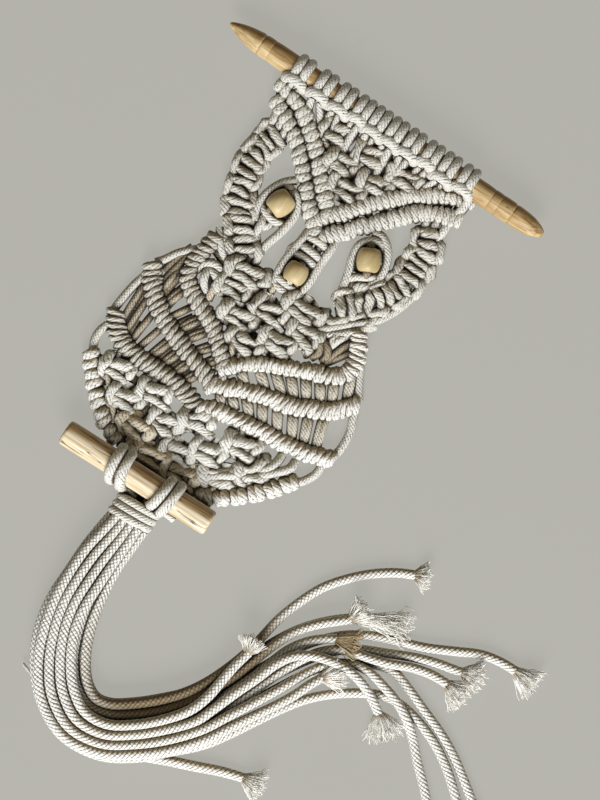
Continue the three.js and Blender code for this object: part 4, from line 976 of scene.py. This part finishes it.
# Cords laid one by one, with the nodes that each piece stands for. "rest" is the height of every point
# that gives none.
singleCords = {
    "looseYarn": {"look": "Tail", "wide": 1.7, "sides": 8, "step": 1, "rest": 3, "lines": [[(9, -231),
        (3, -230.4, 3.2), (-0.6, -229.2, 3.6), (-3.8, -228.2)]]},
    "cordsUnderHeading": {"wide": 4.9, "rest": 4, "lines": [[(-56.5, 119, 7), (-57.5, 116, 5.5),
        (-58, 113, 3.5)], [(-51, 118, 6), (-52, 114)], [(-43, 118, 6.5), (-42, 113, 5), (-39, 108, 3)],
        [(-38, 118, 6), (-34, 112, 4.5), (-31, 107, 3)], [(-30, 118, 6), (-29.5, 112, 4.6), (-28, 106, 3)],
        [(-25.5, 118, 6), (-25, 113, 5), (-24, 109)], [(-18, 119, 6), (-18, 114, 5), (-19, 109)],
        [(-13.5, 119, 7), (-13.8, 112, 5.5), (-13, 102)], [(-7.6, 118, 7), (-7, 111, 5.5), (-7, 102)],
        [(-3, 118, 6), (-2.5, 114, 5), (-1.5, 110)], [(3.4, 118, 6), (3, 114, 5), (3.5, 110)], [(8, 118, 7),
        (8, 111, 5.5), (9, 102)], [(14.6, 118, 6.5), (15.5, 111, 5), (15, 102)], [(19.2, 118, 6.5),
        (18.5, 111, 5.5), (18, 106)], [(26.6, 119, 6.5), (26, 114, 5), (24, 109)], [(31.4, 119, 7),
        (30, 112, 5), (29, 106, 3)], [(38, 118, 6.5), (36, 113, 5), (33, 108, 3)], [(42.6, 118, 6),
        (42.5, 113)], [(47, 122.5, 9), (51, 125, 12.5), (55.5, 125.5, 12.3), (58.7, 121.5, 9.5),
        (59.2, 116, 7.4), (58.6, 111, 5.6), (57.2, 106, 3.8)]]},
    "cordsInsideRightHem": {"wide": 5.4, "rest": 3, "lines": [[(51.5, -54), (51, -60, 5.4),
        (48.6, -65.4, 5.6), (44.6, -69, 4)], [(59.5, -53), (59, -58, 5.2), (54.6, -63.4, 5.6),
        (48.6, -69.4, 5.4), (44, -74.8, 4)], [(39.6, -73.4, 4.6), (35.6, -78, 5.8), (29.6, -82.2, 5.8),
        (23.6, -87, 5.2), (19, -91, 3.6)]]},
    "cordsBesideBreast": {"rest": 3, "lines": [[(-46, 31), (-42, 25, 4.6), (-37.5, 20.5, 4.4), (-32, 17.5)],
        [(-42, 30), (-37, 25, 4.6), (-32, 21)], [(-44, 4, 2.6), (-42.4, 9, 4.4), (-38.6, 12.2, 5.4),
        (-34.5, 12.4, 4.8), (-31, 10)], [(-38.8, 9.4, 3.6), (-38.4, 5, 6), (-36.8, 1, 5.6), (-33.4, -3)],
        [(-37.4, 8.6, 4.4), (-33.6, 7.8, 5.6), (-30.4, 5.2, 4)], [(52.4, 40), (51.8, 33, 4.6),
        (50.2, 26, 4.4), (48.5, 20)], [(55, 33), (48.5, 25.5, 4.4), (41.5, 19, 4.4), (35, 14)], [(42, 22),
        (40, 16, 4.4), (40.4, 10, 3.4)], [(45.4, 21), (42, 15, 5), (41, 10, 3.4)]]},
    # dark cords in a deep painted shade, where only shade shows between the knots
    "deepCordsBesideBreast": {"look": "DeepShaded", "wide": 4.9, "lines": [[(-52.6, 14), (-56, 5),
        (-58.6, -6)], [(-61, -16), (-59.4, -36), (-58.6, -48)], [(-55.6, -36), (-54.6, -48)], [(-50.4, -10),
        (-50.6, -21)], [(-31, -18), (-38, -29)], [(-24, -20), (-31, -31)], [(-30, -36), (-35, -50)],
        [(-22.6, -40), (-27, -50)], [(-15, -42), (-19.6, -50)], [(-52.5, 8, 2.6), (-54, -2, 3),
        (-56, -12, 2.6)], [(-48.5, 0, 2.6), (-50.5, -8, 3.2), (-52.5, -18, 2.6)], [(-44.5, -3, 2.6),
        (-45, -12, 2.6), (-46.5, -22)], [(-41, 19, 2.6), (-36, 17, 2.8), (-32, 14, 2.6)], [(-41, 14),
        (-37, 8), (-33, 0)], [(-34, 14), (-31, 5), (-29.5, -6)], [(35.6, 10.8, 3.4), (39, 9, 5),
        (41.8, 5, 4.8), (41, 0.5, 3)], [(30.4, 8.4, 3.6), (35, 8, 5.2), (37.2, 4, 5), (35.2, -1, 3)],
        [(50, 20, 2.8), (46.4, 13, 4), (44, 5, 3.6), (43, -1, 2.6)], [(52, 14, 2.6), (48, 8, 3.4),
        (44, 2, 2.6)], [(47, 22, 2.6), (42, 13, 2.6), (37, 4, 2.6)]]},
    # dark cords in a deep painted shade, where only shade shows behind the belly's knots
    "deepCordsBehindBelly": {"look": "DeepShaded", "wide": 4.8, "rest": 2.4, "lines": [[(-24.5, -70),
        (-24.6, -82)], [(-9.5, -80), (-9.4, -92)], [(-38.4, -62), (-38.6, -71)], [(-51, -69), (-50, -78)],
        [(3, -88), (3.4, -100)], [(-30, -88), (-25, -100)], [(-62.6, -63), (-62, -69)], [(-44, -84),
        (-38, -94)]]},
    "cordsOverRings": {"wide": 5.2, "rest": 3, "lines": [[(-56, 104), (-54.5, 98, 4.6), (-54, 91)],
        [(-50.5, 102), (-50, 97, 4.4), (-50, 91)], [(-45.5, 99), (-45.5, 95, 4.2), (-46, 89)], [(56, 105),
        (57, 98, 4.8), (56.5, 91)], [(51, 103), (51.6, 97, 4.4), (52, 91)], [(46, 100), (46.8, 96, 4.2),
        (47.6, 90)]]},
    "ringFillerCord": {"nodes": ["ring_filler"], "rest": 3, "lines": [[(60, 80, 2.8), (63, 70), (63.3, 60),
        (61, 50), (56.5, 40, 3.4), (52, 34, 4), (44, 27, 4.2), (36, 19.5, 4), (30, 14)]]},
    # dark cords in a deep painted shade, behind and round the beads
    "cordsBehindBeads": {"look": "DeepShaded", "wide": 4.9, "sides": 10, "step": 1.8, "lines": [[(-34, 65),
        (-26, 66.5), (-17, 64)], [(-35, 60), (-26, 60), (-16, 59)], [(-34, 57), (-26, 57), (-17, 56.5)],
        [(-34, 53.4), (-26, 53), (-17, 52)], [(26, 71.6), (31, 72.6), (37, 71)], [(22, 66), (31, 68),
        (40, 66)], [(23, 60), (32, 61), (42, 60)], [(25, 54), (32, 54), (41, 54)], [(31.6, 50, 3.2),
        (31.4, 44, 3.2), (30.8, 38, 2.8)], [(36.4, 51, 3.2), (35.2, 45, 3.2), (33.6, 39, 2.8)],
        [(40.6, 53, 3), (39.8, 49, 3), (38, 44, 2.8)], [(-6, 39.6), (3, 39), (11, 39.6)], [(-6, 36),
        (3, 35), (11, 36)], [(-6, 30), (3, 30), (11, 30)], [(-28.6, 53, 6), (-27.6, 56, 7.9),
        (-26, 60.3, 7.9), (-23.9, 66, 7.9), (-23, 70, 6)], [(35.8, 52.5, 6), (34.4, 56, 7.9), (32, 61, 7.9),
        (29, 67, 7.9), (28, 70.5, 6)]]},
    "eye_loop_left.cords": {"nodes": ["eye_loop_left"], "step": 1.4, "rest": 5,
        "lines": [[(-25.5, 75.5, 3.5), (-28.5, 73), (-31.4, 69.5, 5.4), (-34.3, 63, 5.4), (-35.5, 56, 5.2),
        (-34.8, 50), (-32.4, 44.5, 4.5)], [(-30, 70.8, 4), (-25, 69.7, 6), (-19.8, 67.6, 6),
        (-16.3, 63, 5.6), (-15.4, 57, 5.2), (-16.6, 48), (-19.4, 38, 4.4), (-20.5, 32, 3.5)],
        [(-34.6, 55.2, 3), (-31.2, 52.6), (-27.2, 51, 5.8), (-22.8, 50.4, 5.4), (-18, 51.8, 3)],
        [(-29.8, 50, 3.6), (-28.4, 45), (-28.4, 38, 4)], [(-23.6, 50, 3), (-24.6, 46.6, 3.6),
        (-27.5, 43.5, 3)]]},
    "eye_loop_right.cords": {"nodes": ["eye_loop_right"], "step": 1.4, "rest": 5.6, "lines": [[(26, 75, 4),
        (31, 76, 5), (36.6, 72.4), (40.4, 66.5), (42.2, 59.5, 5.4), (41.8, 54, 5), (39, 48.5, 4.4)],
        [(36.6, 70.6, 3.6), (31, 72.2, 6), (25.8, 69.6, 6), (22.9, 64.6), (23.5, 58, 5.4),
        (25.6, 51.5, 5.2), (27.4, 45, 4.8), (29.6, 35, 4)], [(42, 57, 3), (38.4, 54, 5.2), (34.4, 51.4),
        (30.4, 48.8, 5), (27.5, 45.2, 3.4)]]},
    "beak.cords": {"nodes": ["beak_sinnet"], "step": 1.4, "rest": 3, "lines": [[(-4.6, 56, 4),
        (-5, 50, 5.8), (-5.8, 42, 5.4), (-6.3, 34, 5), (-5.8, 27.5, 4.6), (-4.4, 22, 3.6)], [(11, 60, 4),
        (11.4, 54, 5.6), (11, 47, 5.2), (11.2, 40, 5), (11.4, 33, 4.6), (10.4, 25, 3.6)], [(-4, 52.6, 3.5),
        (0, 54, 6), (5, 54.2, 6), (10, 53, 3.5)], [(-4.4, 47.4, 3.5), (-1, 47.7, 6.4), (5, 47.2, 6.4),
        (8.6, 46.4, 4.6), (10.2, 44.4)], [(-4.6, 42, 3.5), (-1, 42.4, 6.2), (5, 42.4, 6.2), (9.6, 42, 3.5)],
        [(-6.6, 26.6), (-3, 25.8, 5.6), (3, 25.2, 5.6), (8.4, 24.6, 4.4), (10.6, 26)], [(-4.6, 22.6),
        (-1, 21.6, 4.6), (4, 21.4, 4.2), (9, 22)], [(-0.6, 58), (-0.6, 50, 3.4), (-0.8, 41)], [(5.4, 58),
        (5.4, 50, 3.4), (5.2, 41)], [(-5.6, 46, 4), (-7, 43.5, 4.6), (-6.4, 40, 4)], [(2.9, 40, 5),
        (2.8, 37, 7.4), (2.6, 33, 7.9), (2.4, 29, 7.4), (2.3, 26, 5)]]},
}
for name, cords in singleCords.items():
    layCords(name, **cords)
print("single cords laid")


# The feet hold the lower dowel: turns of cord from one x to another, and short ends below it.
feet = {
    "foot_left": {"turns": [(-22.9, -17.6), (-17, -9.2)],
                  "end": [(-15, -118, 8), (-9, -116, 10), (-3, -117.5, 9)]},
    "foot_right": {"turns": [(15.2, 11.2), (9.4, 4.2)],
                   "end": [(8, -117.5, 9), (15, -115.5, 9), (21.5, -116, 7)]},
}
footWound = {"axisY": -107.8, "axisZ": 12.4, "radius": 9.2,
             "from": 172, "to": -32, "step": 12,      # degrees round the dowel
             "late": 2.4}                             # how late a turn moves along the dowel


def footLine(fromX, toX):
    points = []
    for angle in range(footWound["from"], footWound["to"] - 1, -footWound["step"]):
        share = (footWound["from"] - angle) / (footWound["from"] - footWound["to"])
        points.append((fromX + (toX - fromX) * share ** footWound["late"],
                       footWound["axisY"] - footWound["radius"] * math.cos(math.radians(angle)),
                       footWound["axisZ"] + footWound["radius"] * math.sin(math.radians(angle))))
    return points


for node, foot in feet.items():
    layCords(node + ".cords", [footLine(*turn) for turn in foot["turns"]] + [foot["end"]], [node], wide=5.9,
             sides=16, step=1.4, widths=[1.0, 1.0, 0.85])

legs = [(-16, -7.5), (-8, -3), (0, 1.5), (8, 6), (16, 10.5)]    # x above the dowel and in the wrapping
legLines = [[(top, -96, 2.6), (top * 0.8, -106, 2.6), (foot, -119, 4), (foot * 0.85, -137, 6)]
            for top, foot in legs]
gathered = [[(foot * 0.9, -119, 10), (foot * 0.85, -137, 11)] for top, foot in legs[1:4]]
# The legs take the darker copy too, painted shade in the folds.
layCords("legCords", legLines + gathered, ["legs"], look="ShadedInTheFolds", step=1.6)

wrapping = {"x": 1.5, "top": -118.5, "foot": -131.2, "wide": 27, "high": 17.8, "turns": 3, "steps": 20,
            "cord": 5.0}


def wrappingLine():
    halfWide, halfHigh = (wrapping[size] / 2 - wrapping["cord"] / 2 for size in ("wide", "high"))
    count = wrapping["turns"] * wrapping["steps"]
    points = []
    for step in range(count + 1):
        angle = 2 * math.pi * step / wrapping["steps"] - math.pi / 2
        points.append((wrapping["x"] + halfWide * math.cos(angle),
                       wrapping["top"] + (wrapping["foot"] - wrapping["top"]) * step / count,
                       wrapping["high"] / 2 + halfHigh * math.sin(angle)))
    return points


layCords("wrappingTurns", [wrappingLine()], ["gathering_wrap"], wide=wrapping["cord"], sides=14, step=1.4)
print("legs wrapped")


# A light table: a pale flat floor that gives a little light of its own.
floor = {"half": 3.0, "board": "#434240", "glow": "#B6B5AD", "glowStrength": 0.845}
corners = [(x * floor["half"], y * floor["half"], 0) for x, y in ((-1, -1), (1, -1), (1, 1), (-1, 1))]
floorMesh = bpy.data.meshes.new("floor")
floorMesh.from_pydata(corners, [], [(0, 1, 2, 3)])
floorMaterial, add = newMaterial("lightTable")
add("OutputMaterial", add("BsdfPrincipled", {
    "Base Color": linear(floor["board"]), "Emission Color": linear(floor["glow"]),
    "Emission Strength": floor["glowStrength"], "Roughness": 0.9}))
floorMesh.materials.append(floorMaterial)
linkObject("floor", floorMesh)

window = {"toward": (0.45, -0.85, 0.7), "distance": 3.2, "size": 1.8, "power": 147}
light = bpy.data.lights.new("window", "AREA")
light.size, light.energy = window["size"], window["power"]
holder = linkObject("window", light)
away = Vector(window["toward"]).normalized()
holder.location = away * window["distance"]
holder.rotation_euler = away.to_track_quat("Z", "Y").to_euler()

sky = {"colour": "#D2CBBA", "strength": 0.26}
world = bpy.data.worlds.new("studio")
world.use_nodes = True
background = world.node_tree.nodes["Background"].inputs
background["Color"].default_value = linear(sky["colour"])
background["Strength"].default_value = sky["strength"]
bpy.context.scene.world = world
bpy.context.scene.view_settings.view_transform = "Standard"
print("lit")
